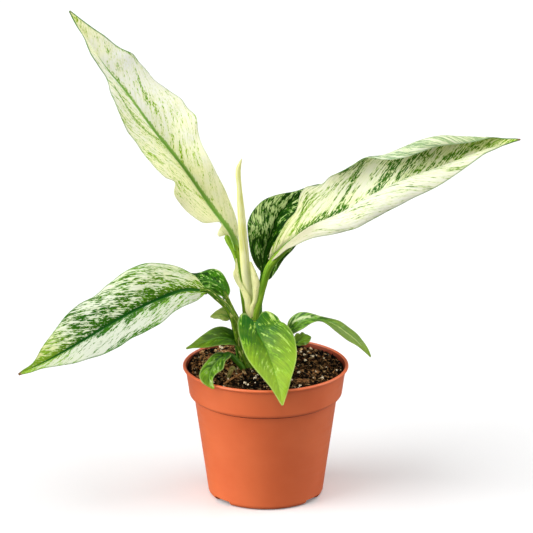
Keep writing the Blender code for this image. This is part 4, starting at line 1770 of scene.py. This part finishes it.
FRESH_SKIN = LeafFinish(
    "fresh_leaf_skin", seed=21.0, white=paint(218, 232, 160), cream=paint(206, 222, 96),
    tint=paint(150, 194, 44), halo=0.5, veil=paint(140, 188, 44), veil_strength=0.6,
    light_green=paint(108, 166, 20), dark_green=paint(28, 96, 10), yellow_green=paint(166, 198, 44),
    green_yellowing=0.8, rib_light=paint(104, 166, 34), rib_dark=paint(54, 126, 22),
    rib_edge=paint(60, 130, 20), cap=0.9, specks=0.7, blots=0.9, bands=0.9, mottle=2.4,
    streak_grain=(2.4, 1.0, 1.0), speck_grain=(6.0, 5.0, 1.0), band_grain=(1.2, 0.6, 1.0),
    vein_show=0.12, roughness=0.42, gloss=0.25)
SMALL_SKIN = LeafFinish(
    "small_leaf_skin", seed=27.0, white=paint(204, 220, 160), cream=paint(180, 200, 90),
    tint=paint(120, 168, 50), veil=paint(110, 162, 50), veil_strength=0.6,
    light_green=paint(114, 172, 20), dark_green=paint(22, 84, 4), yellow_green=paint(158, 192, 34),
    green_yellowing=0.7, rib_light=paint(150, 196, 84), rib_dark=paint(86, 146, 34),
    rib_edge=paint(34, 96, 12), cap=0.9, streaks=0.9, specks=0.7, blots=0.6, bands=0.8, mottle=2.6,
    streak_grain=(2.6, 0.9, 1.0), roughness=0.36, gloss=0.4)
SHEATH_SKIN = LeafFinish(
    "sheath_skin", seed=31.0, white=paint(254, 252, 196), cream=paint(250, 246, 146),
    tint=paint(206, 212, 110), halo=0.1, veil=paint(214, 216, 120), veil_strength=0.15,
    light_green=paint(150, 184, 60), dark_green=paint(96, 146, 36), rib_light=paint(220, 222, 130),
    vein_show=0.04)
DRIED_SKIN = LeafFinish(
    "dried_skin", seed=35.0, white=paint(196, 184, 112), cream=paint(164, 148, 74),
    tint=paint(130, 112, 52), veil=paint(112, 96, 44), light_green=paint(112, 96, 42),
    dark_green=paint(54, 42, 18), rib_light=paint(96, 82, 44), rib_dark=paint(60, 48, 26),
    edge_pale=paint(150, 134, 84), roughness=0.7)

GREEN_STALK = StalkFinish("green_stalk", paint(148, 184, 50), paint(98, 146, 20), paint(214, 220, 120))
MOTTLED_STALK = StalkFinish("mottled_stalk", paint(122, 160, 30), paint(46, 94, 8), paint(206, 206, 116),
                            streak_share=0.18)
DARK_STALK = StalkFinish("dark_stalk", paint(90, 148, 32), paint(38, 92, 12), paint(190, 206, 120))
CREAM_STALK = StalkFinish("cream_stalk", paint(246, 245, 188), paint(224, 225, 124), paint(204, 209, 92))

SHEATH_SHEET = {"across": 28, "along": 90, "pleat": 0.08, "pleat_spacing": 3.0, "rib_depth": 0.15,
                "ripple": 0.15}


def sheath_coat(third_line: float) -> tuple:
    """Return the coat of a sheath wing.

    Args:
        third_line: The line along its margin at its third station.

    Returns:
        A row for each of its stations.
    """
    foot = ((0.20, 0.20, 0.6, 0.1, 0.0, 0.0), (0.16, 0.16, 0.5, 0.1, 0.0, -0.4),
            (0.12, 0.12, 0.4, 0.1, 0.0, third_line))
    upper = tuple((0.10, 0.10, yellow, 0.1, 0.0, -0.5) for yellow in (0.4, 0.4, 0.4, 0.5, 0.6))
    return foot + upper


BLADES = (
    Blade("tall_leaf_blade", "leaf_tall", "cream_leaf", (0.25, -0.84, 0.48), (
        (-20.8, 12, 180, 2, 40, 20, 2, 10, 10),
        (-26, 15, 192, 5, 60, 30, 8, 15, 30),
        (-40, 20, 211, 32, 52, 30, 17, 45, 40),
        (-59, 28, 237, 39, 57, 30, 23, 55, 45),
        (-81, 38, 263, 37, 53, 25, 31, 15, 45),
        (-99, 45, 287, 30, 55, 20, 32, -12, 35),
        (-115, 51, 306, 15, 63, 15, 20, 5, 25),
        (-128, 56, 325, 5, 50, 10, 10, 5, 10),
        (-141.2, 61.5, 345.4, 0.5, 20, 0, 0.5, 10, 0)), (
        (0.9, 0.4, 0.9, 0.1, 7, 0), (0.16, 0.14, 1, 0.1, 6.5, 0), (0.16, 0.12, 0.9, 0.1, 5.6, 0.1),
        (0.26, 0.18, 0.7, 0.2, 5, 0.2), (0.3, 0.2, 0.45, 0.3, 3.6, 0.5), (0.3, 0.18, 0.3, 0.4, 2.8, 0.6),
        (0.18, 0.18, 0.2, 0.5, 1, 0.8), (0.24, 0.22, 0.6, 0.4, 0, 1), (0.42, 0.42, 1, 0.3, 0, 1)),
        TALL_SKIN,
        streaks=(
            Streak(((0.46, -0.05), (0.5, -0.38), (0.55, -0.53), (0.62, -0.57), (0.67, -0.62)),
                   1.1, 0.6, 0.6),
            Streak(((0.02, 0.25), (0.1, 0.16), (0.17, 0.1)), 1.6, 0.7, 0.1),
            Streak(((0.275, -0.08), (0.31, -0.4), (0.35, -0.85)), 0.8, 0.55, 0.4),
            Streak(((0.41, -0.75), (0.45, -0.88)), 1.6, 0.4, 0.2),
            Streak(((0.57, 0.28), (0.69, 0.72)), 1.4, 0.42, 0.4),
            Streak(((0.52, 0.06), (0.8, 0.3)), 1.8, -0.2),
            Streak(((0.5, 0.22), (0.55, 0.4)), 1.4, 0.35, 0.1),
            Streak(((0.39, 0.12), (0.44, 0.38)), 1.2, 0.4, 0.3),
            Streak(((0.36, 0.55), (0.41, 0.78)), 1.2, 0.35),
            Streak(((0.62, 0.05), (0.72, 0.08)), 1.5, 0.4, 0.3),
            Streak(((0.7, 0.95), (0.8, 0.97)), 1.2, 0.35, 0.2)),
        bulges=(
            *bulges_on(
                Side.RIGHT, (0.86, 0.035, 0.6, 0.8), (0.73, 0.035, 1.8, 1.6), (0.61, 0.045, -2.2, -2),
                (0.53, 0.03, 0.6, 2.5), (0.46, 0.028, 1.8, 3), (0.4, 0.028, -0.8, -2.5),
                (0.28, 0.1, -1.2), (0.09, 0.05, -1.8)),
            *bulges_on(
                Side.LEFT, (0.81, 0.03, 4, 1.5), (0.71, 0.035, -5, -1.5), (0.49, 0.06, -3.5),
                (0.355, 0.016, -9, 3.5), (0.28, 0.05, -4, -3), (0.235, 0.035, -2.4),
                (0.186, 0.021, -14.5, 2), (0.153, 0.014, 18, 4))),
        right_yellow=0.8, rib_depth=0.6, pleat=0.2, base_round=0.02, across=80, along=230, seed=2),
    Blade("right_leaf_blade", "leaf_right", "cream_leaf", (-0.3, -0.53, 0.79), (
        (3.5, -2, 176.5, 4, 60, 0, 5.5, 50, 30),
        (16, -2, 191, 9, 35, 0, 12.5, 38, 40),
        (34, -7, 204, 25, 25, -10, 24.5, 58, 90),
        (55, -8, 214, 28, 33, -30, 31, 58, 130),
        (77, -9, 227, 29, 15, -100, 38, 60, 130),
        (101, -9, 239, 36, 20, -200, 37, 60, 120),
        (127, -8, 250, 38, 25, -220, 26, 50, 90),
        (155, -6, 260, 17, 30, -180, 15, 55, 50),
        (181, -4, 268, 0.6, 0, 0, 0.6, 45, 0)), (
        (0.22, 0.05, 0.9, 0.2, 1.4, 0), (0.28, 0.05, 0.75, 0.2, 0.8, 0.1),
        (0.28, 0.12, 0.45, 0.4, 1.8, 0.3), (0.22, 0.14, 0.3, 0.5, 2, 0.4),
        (0.28, 0.16, 0.2, 0.7, 1.2, 0.5), (0.36, 0.16, 0.25, 0.7, 1, 0.5),
        (0.44, 0.19, 0.4, 0.6, 0.8, 0.6), (0.5, 0.24, 0.6, 0.5, 0.6, 0.7), (0.6, 0.5, 0.9, 0.4, 0, 1)),
        RIGHT_SKIN,
        streaks=(
            Streak(((0.33, -0.06), (0.44, -0.5), (0.55, -0.9)), 0.9, 0.65, 0.5),
            # Deep green along the midrib by the stalk: partly the green there, partly painted shade in the
            # midrib's valley.
            Streak(((0.19, -0.12), (0.28, -0.05), (0.39, -0.08)), 2.6, 0.9, 0.7),
            Streak(((0.5, -0.06), (0.56, -0.25), (0.61, -0.42)), 3.4, 0.32, 0.6),
            Streak(((0.6, -0.12), (0.66, -0.3), (0.71, -0.34)), 2.4, 0.35, 0.5),
            Streak(((0.44, -0.96), (0.5, -0.94), (0.57, -0.92)), 2.4, 0.5, 0.5),
            Streak(((0.15, -0.3), (0.2, -0.52), (0.28, -0.84)), 1, 0.45, 0.2),
            Streak(((0.27, -0.08), (0.32, -0.25), (0.37, -0.42)), 0.9, 0.5, 0.4),
            Streak(((0.47, -0.3), (0.53, -0.6)), 3, -0.35),
            Streak(((0.76, -0.1), (0.86, -0.22)), 1.6, 0.4, 0.4),
            # Painted shade greys the pale near half by the stalk.
            Streak(((0, 0.5), (0.14, 0.6), (0.24, 0.7)), 9, 0, 0, 0.9)),
        right_yellow=0.5,
        bulges=(
            *bulges_on(
                Side.LEFT, (0.93, 0.045, -3, -1), (0.21, 0.035, -4), (0.28, 0.025, 1, 1.5),
                (0.54, 0.05, 4.5), (0.345, 0.045, -1.6, -0.8)),
            *bulges_on(Side.RIGHT, (0.3, 0.05, 0, -1), (0.45, 0.05, 1, 1))),
        base_round=0.06, across=88, along=220, seed=5),
    Blade("low_leaf_blade", "leaf_low", "marbled_leaf", (-0.05, -0.66, 0.73), (
        (-42, -10, 157, 4, 20, 20, 3, 10, 20),
        (-60, -14, 158, 19, 30, 20, 20, 28, 35),
        (-83, -21, 151, 27, 30, 20, 29, 40, 45),
        (-107, -28, 140, 29, 33, 20, 26, 32, 45),
        (-130, -36, 128, 26, 35, 20, 22, 33, 30),
        (-152, -43, 117, 13, 30, 10, 12, 33, 10),
        (-176, -50, 107, 0.6, 30, 0, 0.6, 30, 0)), (
        (0.4, 0.4, 0.7, 0.3, 1.5, 0.2), (0.42, 0.45, 0.4, 0.4, 3, 0.4), (0.38, 0.45, 0.25, 0.5, 2.4, 0.5),
        (0.3, 0.42, 0.15, 0.7, 2.2, 0.6), (0.24, 0.46, 0.1, 0.7, 2, 0.6), (0.36, 0.44, 0.7, 0.3, 1.4, 0.4),
        (0.5, 0.5, 1.2, 0, 0, 0.2)), LOW_SKIN,
        streaks=(
            Streak(((0.24, 0.1), (0.36, 0.34), (0.44, 0.46)), 2.4, 0.25, 0.2),
            Streak(((0.44, 0.4), (0.56, 0.52), (0.66, 0.62)), 3.4, 0.15, 0.2),
            Streak(((0.25, -0.08), (0.34, -0.3)), 2.2, 0.8, 0.8),
            Streak(((0.38, -0.06), (0.46, -0.28)), 2.4, 0.8, 0.8),
            Streak(((0.51, -0.06), (0.6, -0.24)), 2.2, 0.75, 0.8),
            Streak(((0.14, 0.6), (0.26, 0.8)), 2.4, -0.1),
            Streak(((0.36, -0.96), (0.5, -0.97), (0.6, -0.96)), 2.2, 0.4, 0.2)),
        bulges=(
            *bulges_on(Side.RIGHT, (0.92, 0.05, -3), (0.52, 0.05, -1.8, 0.8), (0.125, 0.05, -1.3)),
            *bulges_on(Side.LEFT, (0.24, 0.07, -4, 0.8), (0.72, 0.05, 1.2, 0.8), (0.89, 0.05, -2))),
        # Painted shade greys the pale parts of the lower left half, which faces down.
        feather=0.5, feather_reach=3.6, left_painted_shade=0.85, base_round=0.08, across=72, along=170, seed=8),
    Blade("shaded_leaf_blade", "leaf_shaded", "deep_green_leaf", (0.15, -0.81, 0.57), (
        (-1, 12, 162, 4, 40, 20, 6, 36, 30),
        (0, 17, 176, 16, 47, 20, 17.5, 45, 30),
        (4, 22, 188, 27, 54, 30, 26, 52, 30),
        (10, 28, 202, 17, 32, 30, 28, 46, 30),
        (23, 36, 212, 6, 38, 30, 25, 34, 20),
        (41, 46, 215, 5, 14, 10, 16, 36, 10),
        (61, 56, 212, 0.6, 14, 0, 0.6, 30, 0)), (
        (0.9, 0.95, 0.3, 0.6, 2, 0), (0.7, 0.92, 0.2, 0.5, 1.6, 0), (0.56, 0.86, 0.1, 0.5, 1.2, 0.3),
        (0.44, 0.78, 0.1, 0.6, 1, 0.4), (0.52, 0.76, 0.1, 0.9, 0.8, 0.5), (0.65, 0.75, 0.2, 0.9, 0.5, 0.5),
        (0.8, 0.8, 0.5, 0.6, 0, 0.5)), DARK_SKIN,
        base_round=0.08, across=60, along=120, lobes=(0, 5), seed=11),
    Blade("tucked_leaf_blade", "leaf_tucked", "deep_green_leaf", (0.2, -0.53, 0.79), (
        (-28, 1, 148, 4, 20, 20, 3, 20, 30),
        (-32, 7, 155, 14, 10, 20, 6, 15, 40),
        (-41, 15, 157, 15, 10, 20, 11, 18, 40),
        (-53, 23, 156, 16, 8, 20, 12, -10, 30),
        (-65, 31, 152, 11, 15, 10, 9, 0, 20),
        (-79, 38, 145, 0.6, 25, 0, 0.6, 0, 0)), (
        (0.86, 0.86, 0.3, 0.3, 2, -0.3), (0.8, 0.8, 0.1, 0.2, 1.6, -0.3),
        (0.76, 0.76, 0.1, 0.3, 1.4, -0.3), (0.76, 0.76, 0.1, 0.5, 1.2, -0.3),
        (0.8, 0.8, 0.1, 0.6, 1, -0.3), (0.9, 0.9, 0.3, 0.5, 0, 0)),
        DARK_SKIN, margin_light=0.4, across=48, along=90, seed=14),
    Blade("front_leaf_blade", "leaf_front", "fresh_green_leaf", (0, -0.67, 0.74), (
        (-7.6, -13, 135, 15.5, 4, 20, 12.5, 8, 20),
        (-5, -22, 128, 19.5, 34, 35, 15.5, 28, 35),
        (0, -32, 121, 22.5, 24, 35, 18.5, 34, 35),
        (5, -46, 111.5, 18, 20, 30, 16.5, 34, 30),
        (9, -59, 101.5, 9, 20, 20, 7, 26, 20),
        (12, -68, 90, 0.6, 12, 0, 0.6, 14, 0)), (
        (0.62, 0.76, 0.1, 0.95, 0.8, -0.35), (0.68, 0.8, 0.2, 0.8, 0.8, -0.35),
        (0.78, 0.82, 0.4, 0.6, 0.6, -0.35), (0.84, 0.82, 0.6, 0.4, 0.5, -0.35),
        (0.84, 0.82, 0.8, 0.2, 0.4, -0.35), (0.95, 0.95, 1, 0.05, 0, -0.4)), FRESH_SKIN,
        base_round=0.07, across=72, along=110, lobes=(7.5, 9), pleat=0.22, pleat_spacing=6,
        rib_depth=0.6, margin_light=0.6, seed=17),
    Blade("arching_leaf_blade", "leaf_arching", "deep_green_leaf", (-0.1, -0.39, 0.92), (
        (17, -8, 124, 8, 40, 20, 6, 28, 20),
        (26, -11, 134, 7, 27, 20, 10, 15, 30),
        (38, -12, 136, 2.5, 14, 20, 5, 26, 30),
        (51, -11, 132, 6, -4, 20, 8, 14, 30),
        (64, -9, 121, 7, -5, 10, 7, 14, 20),
        (76, -5, 105, 0.5, 25, 0, 0.5, 18, 0)), (
        # The low green share of the second row is partly the leaf's own pale streak and partly painted
        # sheen.
        (0.62, 0.66, 0.3, 0.7, 1.6, -0.2), (0.54, 0.6, 0.2, 0.6, 1.4, -0.2),
        (0.8, 0.82, 0.2, 0.6, 1, -0.2), (0.85, 0.88, 0.6, 0.8, 1, -0.2), (0.85, 0.88, 0.7, 0.8, 0.8, -0.2),
        (0.9, 0.9, 1, 0.5, 0, 0)), SMALL_SKIN,
        streaks=(Streak(((0.52, 0.35), (0.7, 0.35), (0.88, 0.25)), 1, -0.9),
                 # This pale streak by the stalk is partly the leaf's own pale streak and partly painted
                 # sheen.
                 Streak(((0.1, -0.45), (0.3, -0.4)), 0.9, -0.7)),
        across=40, along=96, pleat=0.2, pleat_spacing=4.5, rib_depth=0.9, margin_light=0.3, seed=20),
    Blade("side_leaf_blade", "leaf_side", "deep_green_leaf", (0, -0.46, 0.88), (
        (-21, -5, 116, 5, 20, 20, 6, 28, 30),
        (-26, -8, 120, 10, 18, 20, 9, 22, 30),
        (-34, -12, 122, 10, 14, 20, 8, 22, 30),
        (-45, -17, 120, 7, 14, 10, 5, 20, 10),
        (-57, -22, 117, 0.5, 24, 0, 0.5, 20, 0)), (
        (0.92, 0.92, 0.2, 0.9, 1.4, -0.25), (0.92, 0.92, 0.2, 0.8, 1.2, -0.25),
        (0.92, 0.92, 0.3, 0.6, 1, -0.25), (0.92, 0.92, 0.5, 0.4, 0.8, -0.25), (0.95, 0.95, 0.9, 0.2, 0, 0)),
        SMALL_SKIN,
        # The pale streaks on each side are a painted sheen.
        streaks=(Streak(((0.15, -0.45), (0.6, -0.4)), 0.8, -0.45),
                 Streak(((0.2, 0.35), (0.55, 0.4)), 0.8, -0.4)),
        across=44, along=72, pleat=0.2, pleat_spacing=4.5, rib_depth=0.9, margin_light=0.5, seed=23),
    Blade("drooping_leaf_blade", "leaf_drooping", "deep_green_leaf", (-0.2, -0.6, 0.77), (
        (-27, -14, 110, 5, 28, 20, 3, 32, 30),
        (-34, -24, 109, 7, 28, 20, 6, 36, 30),
        (-39, -36, 105, 9, 15, 20, 7, 30, 30),
        (-40, -46, 101, 3, 17, 10, 7, 30, 10),
        (-37, -52, 97, 0.5, 13, 0, 0.5, 17, 0)), (
        (0.78, 0.8, 0.2, 0.6, 1.2, -0.4), (0.76, 0.8, 0.2, 0.4, 1, -0.4), (0.76, 0.8, 0.3, 0.3, 0.8, -0.4),
        (0.8, 0.82, 0.4, 0.2, 0.6, -0.4), (0.85, 0.85, 0.8, 0.2, 0, 0)), SMALL_SKIN,
        # The pale streaks are painted highlights: the sheen along the veins and near the tip.
        streaks=(Streak(((0.28, 0.4), (0.62, 0.35)), 1.4, -0.35),
                 Streak(((0.8, -0.2), (0.9, 0.3)), 1.8, -0.4),
                 Streak(((0.25, -0.6), (0.55, -0.7)), 1, -0.35)),
        across=40, along=70, pleat=0.2, pleat_spacing=4.5, rib_depth=1.2, margin_light=0.4, seed=26),
    Blade("pale_leaf_blade", "leaf_pale", "deep_green_leaf", (0, -0.66, 0.75), (
        (-25, 2, 132, 4, 17, 20, 3, 27, 20),
        (-29, 3, 134, 6, 24, 20, 7, 24, 20),
        (-34, 4, 134, 4, 24, 10, 4, 20, 10),
        (-40, 5, 132, 0.5, 22, 0, 0.5, 20, 0)), (
        (0.1, 0.1, 0.8, 0.2, 1, -0.4), (0.04, 0.04, 0.9, 0.2, 0.8, -0.4),
        (0.04, 0.04, 0.9, 0.2, 0.6, -0.4), (0.3, 0.3, 1, 0.1, 0, 0)), SMALL_SKIN,
        base_round=0.15, across=32, along=44, pleat=0.15, pleat_spacing=3.5, rib_depth=0.6, seed=29),
    Blade("tiny_leaf_blade", "leaf_tiny", "fresh_green_leaf", (0.1, -0.55, 0.83), (
        (21, 13, 109, 3, 20, 20, 3, 20, 20),
        (25, 15, 110, 5, 35, 20, 4, 10, 50),
        (29, 17, 111, 4, 35, 20, 4, 0, 50),
        (33, 19, 112, 0.5, 20, 0, 0.5, 0, 0)), (
        (0.9, 0.9, 0.5, 0.2, 0.8, -0.2), (0.9, 0.9, 0.5, 0.2, 0.6, -0.2), (0.9, 0.9, 0.5, 0.1, 0.5, -0.2),
        (0.9, 0.9, 0.5, 0.1, 0, 0)), SMALL_SKIN,
        bulges=(
            *bulges_on(Side.LEFT, (0.3, 0.07, 0.8, 1), (0.6, 0.07, 0.8, 1)),
            *bulges_on(Side.RIGHT, (0.45, 0.07, 0.8, 1))),
        base_round=0.15, across=32, along=44, pleat=0.2, pleat_spacing=3, rib_depth=0.6, ripple=1,
        seed=32),
    Blade("sheath_wing_left", "sheath_left", "cream_leaf", (-0.2, -0.95, 0.2), (
        (-10.8, -2.4, 133.6, 1.8, 0, 0, 1.2, 0, 0),
        (-12.8, -2.2, 140.2, 2.8, -15, 40, 3, -5, 50),
        (-14.2, -1.4, 147.2, 2.2, -15, 50, 3.8, 0, 60),
        (-17, 0.3, 154.2, 1.4, 0, 30, 2.6, 0, 40),
        (-19.8, 0.9, 160.4, 2, 10, 30, 1.8, 0, 20),
        (-21, 1, 165.7, 2.5, 20, 40, 2, 0, 20),
        (-20.8, 1.5, 170.4, 1.2, 10, 20, 1.1, 0, 20),
        (-21.2, 2, 177, 0.5, 0, 0, 0.4, 0, 0)), sheath_coat(-0.4), SHEATH_SKIN,
        **SHEATH_SHEET, seed=35),
    Blade("sheath_wing_right", "sheath_right", "cream_leaf", (0.3, -0.9, 0.3), (
        (-9.6, -3.8, 134.6, 1.4, 0, 0, 0.8, 0, 0),
        (-9.2, -4.4, 142, 2.4, -20, 40, 2, -10, 40),
        (-7.5, -5, 147.6, 2.1, -25, 30, 2, -10, 60),
        (-6.8, -5.4, 155.8, 2.8, -30, 20, 2.8, 0, 70),
        (-6.8, -5.3, 161, 3.2, -30, 10, 3.4, 10, 80),
        (-8.4, -4.2, 167.6, 2.4, -30, 0, 2.4, 10, 60),
        (-9.8, -3, 172.4, 1.5, -20, 0, 1.5, 0, 30),
        (-10.8, -2, 176, 0.5, 0, 0, 0.5, 0, 0)), sheath_coat(-0.5), SHEATH_SKIN,
        **SHEATH_SHEET, seed=38),
    Blade("dried_sheath_strap", "dried_sheath", "dried_sheath", (0.2, -0.4, 0.9), (
        (-21, -14, 96.5, 1.2, 10, 20, 1.2, 10, 20),
        (-22.6, -17, 101.6, 1.8, 10, 60, 1.8, 10, 60),
        (-24.5, -22.5, 100.4, 1.7, 10, 50, 1.7, 10, 50),
        (-27.2, -28, 96, 0.8, 0, 0, 0.8, 0, 0)), (
        (0.5, 0.5, 0.4, 0.3, 0, -0.5), (0.4, 0.4, 0.5, 0.3, 0, -0.5), (0.4, 0.4, 0.5, 0.3, 0, -0.5),
        (0.6, 0.6, 0.4, 0.3, 0, -0.5)), DRIED_SKIN,
        base_round=0.15, across=20, along=50, pleat=0.2, pleat_spacing=2.4, rib_depth=0.1, seed=41),
)

STALKS = (
    Stalk("tall_leaf_stalk", "stalk_tall", (
        (-13.5, 9, 93.5), (-13.8, 9, 110), (-14.2, 8.5, 132), (-16.4, 8.5, 151.5), (-18.4, 10.5, 167),
        (-21.4, 13, 178.5), (-24.9, 16.2, 186.3), (-27.2, 18.6, 191)), 2.5, 2.3, GREEN_STALK,
        open_to=(0.2, -1, 0.1),
        profile=((0, 1, 1), (0.55, 1, 1), (0.73, 1.35, 1), (0.85, 1.75, 1), (0.94, 1.75, 0.9),
                 (1, 0.9, 0.5))),
    Stalk("right_leaf_stalk", "stalk_right", (
        (-4, -1.5, 93.6), (-6, -1.5, 110), (-7.7, -1.5, 133), (-4.6, -1.5, 147), (-1.6, -1.5, 159),
        (1.5, -2.2, 170.2), (6.4, -2.8, 177.6), (14.2, -3.6, 186.2), (20, -4.2, 191.2)),
        3.4, 2.3, GREEN_STALK, open_to=(-0.8, -0.3, 0.5),
        profile=((0, 1.2, 1), (0.45, 0.92, 0.9), (0.6, 1.05, 1.05), (0.8, 1.15, 1.2), (0.92, 1, 1),
                 (1, 0.4, 0.4))),
    Stalk("shaded_leaf_stalk", "stalk_shaded", (
        (-2, 8, 93.4), (-4.4, 8, 130), (-4, 10, 147), (-2.4, 11.9, 160), (-0.5, 14.5, 169)),
        1.9, 1.6, DARK_STALK, open_to=(-0.2, -1, 0.3)),
    Stalk("low_leaf_stalk", "stalk_low", (
        (-10, -7, 93.9), (-13.4, -7.2, 101), (-18.4, -7.4, 114.5), (-21, -8, 126), (-23.8, -9, 136),
        (-28.5, -10, 145), (-35, -10.5, 151.5), (-41.2, -10, 156.6), (-47, -11, 157.5)),
        2.8, 1.9, MOTTLED_STALK, open_to=(0.3, -0.6, 0.8)),
    Stalk("tucked_leaf_stalk", "stalk_tucked", (
        (-16, 0, 93.4), (-16.5, -1, 112), (-20, -2, 130), (-24.3, -1, 139.5), (-28, 0.8, 147.4),
        (-30, 4, 151.5)), 2.2, 1.5, MOTTLED_STALK, open_to=(0.6, -0.6, 0.5)),
    Stalk("front_leaf_stalk", "stalk_front", (
        (-5, -10, 93.4), (-6, -11, 115), (-7.9, -12.6, 134.8)), 1.8, 1.3, GREEN_STALK, open_to=(0, -1, 0)),
    Stalk("arching_leaf_stalk", "stalk_arching", (
        (2, -6, 93.8), (5, -7, 105), (12, -7.5, 116), (16.7, -8, 123.6), (20, -9, 128)),
        1.8, 1.3, DARK_STALK, open_to=(-0.6, -0.3, 0.7)),
    Stalk("side_leaf_stalk", "stalk_side", (
        (-14.5, -4, 93.7), (-17, -3.6, 105), (-20.2, -4.2, 114.2), (-23, -6.2, 118)),
        1.5, 1.3, DARK_STALK, open_to=(0.6, -0.4, 0.6)),
    Stalk("drooping_leaf_stalk", "stalk_drooping", (
        (-14.5, -10, 94.2), (-19, -12, 102), (-26.2, -14, 109.6), (-30, -18, 110)),
        2.2, 1.7, DARK_STALK, open_to=(0.4, -0.3, 0.8)),
    Stalk("pale_leaf_stalk", "stalk_pale", (
        (-19, 4, 93.5), (-21.5, 4, 112), (-24.8, 2.3, 131.4), (-27, 2.6, 133.4)), 1.3, 0.9, DARK_STALK),
    Stalk("tiny_leaf_stalk", "stalk_tiny", (
        (3, 4, 94.1), (10, 8, 101), (20.5, 12.8, 108.7), (23, 14, 109.6)), 1.3, 0.9, DARK_STALK),
)

GRAINS = (
    Grain("peat_crumbs", 5000, (0.8, 3.0), (1.0, 0.8, 0.7), 1.2, 0.0,
          EarthFinish("crumb", paint(5, 2, 1), paint(224, 166, 104), 700.0, varied=True),
          seed=5, dullness=3.8),
    Grain("perlite_grains", 210, (0.9, 3.0), (1.0, 0.8, 0.75), 0.8, -0.2,
          EarthFinish("perlite", paint(232, 192, 136), paint(255, 240, 206), 700.0, 0.8, bump_mm=0.3),
          seed=6),
    Grain("bark_bits", 460, (1.6, 5.4), (1.0, 0.42, 0.3), 0.9, -0.3,
          EarthFinish("bark_bit", paint(50, 28, 12), paint(255, 214, 150), 500.0, varied=True),
          seed=7, dullness=1.0),
)


def main() -> None:
    """Build the plant and its studio."""
    logging.basicConfig(level=logging.INFO, format="%(message)s")
    pot = Pot()
    pot.build()
    soil = Soil(pot)
    soil.build()
    for loose in (*GRAINS, Fibres()):
        loose.build(soil)
    Litter(soil).build()
    for part in (*BLADES, *STALKS, Spear(CREAM_STALK)):
        part.build()
    Studio().build()


if __name__ == "__main__":
    main()
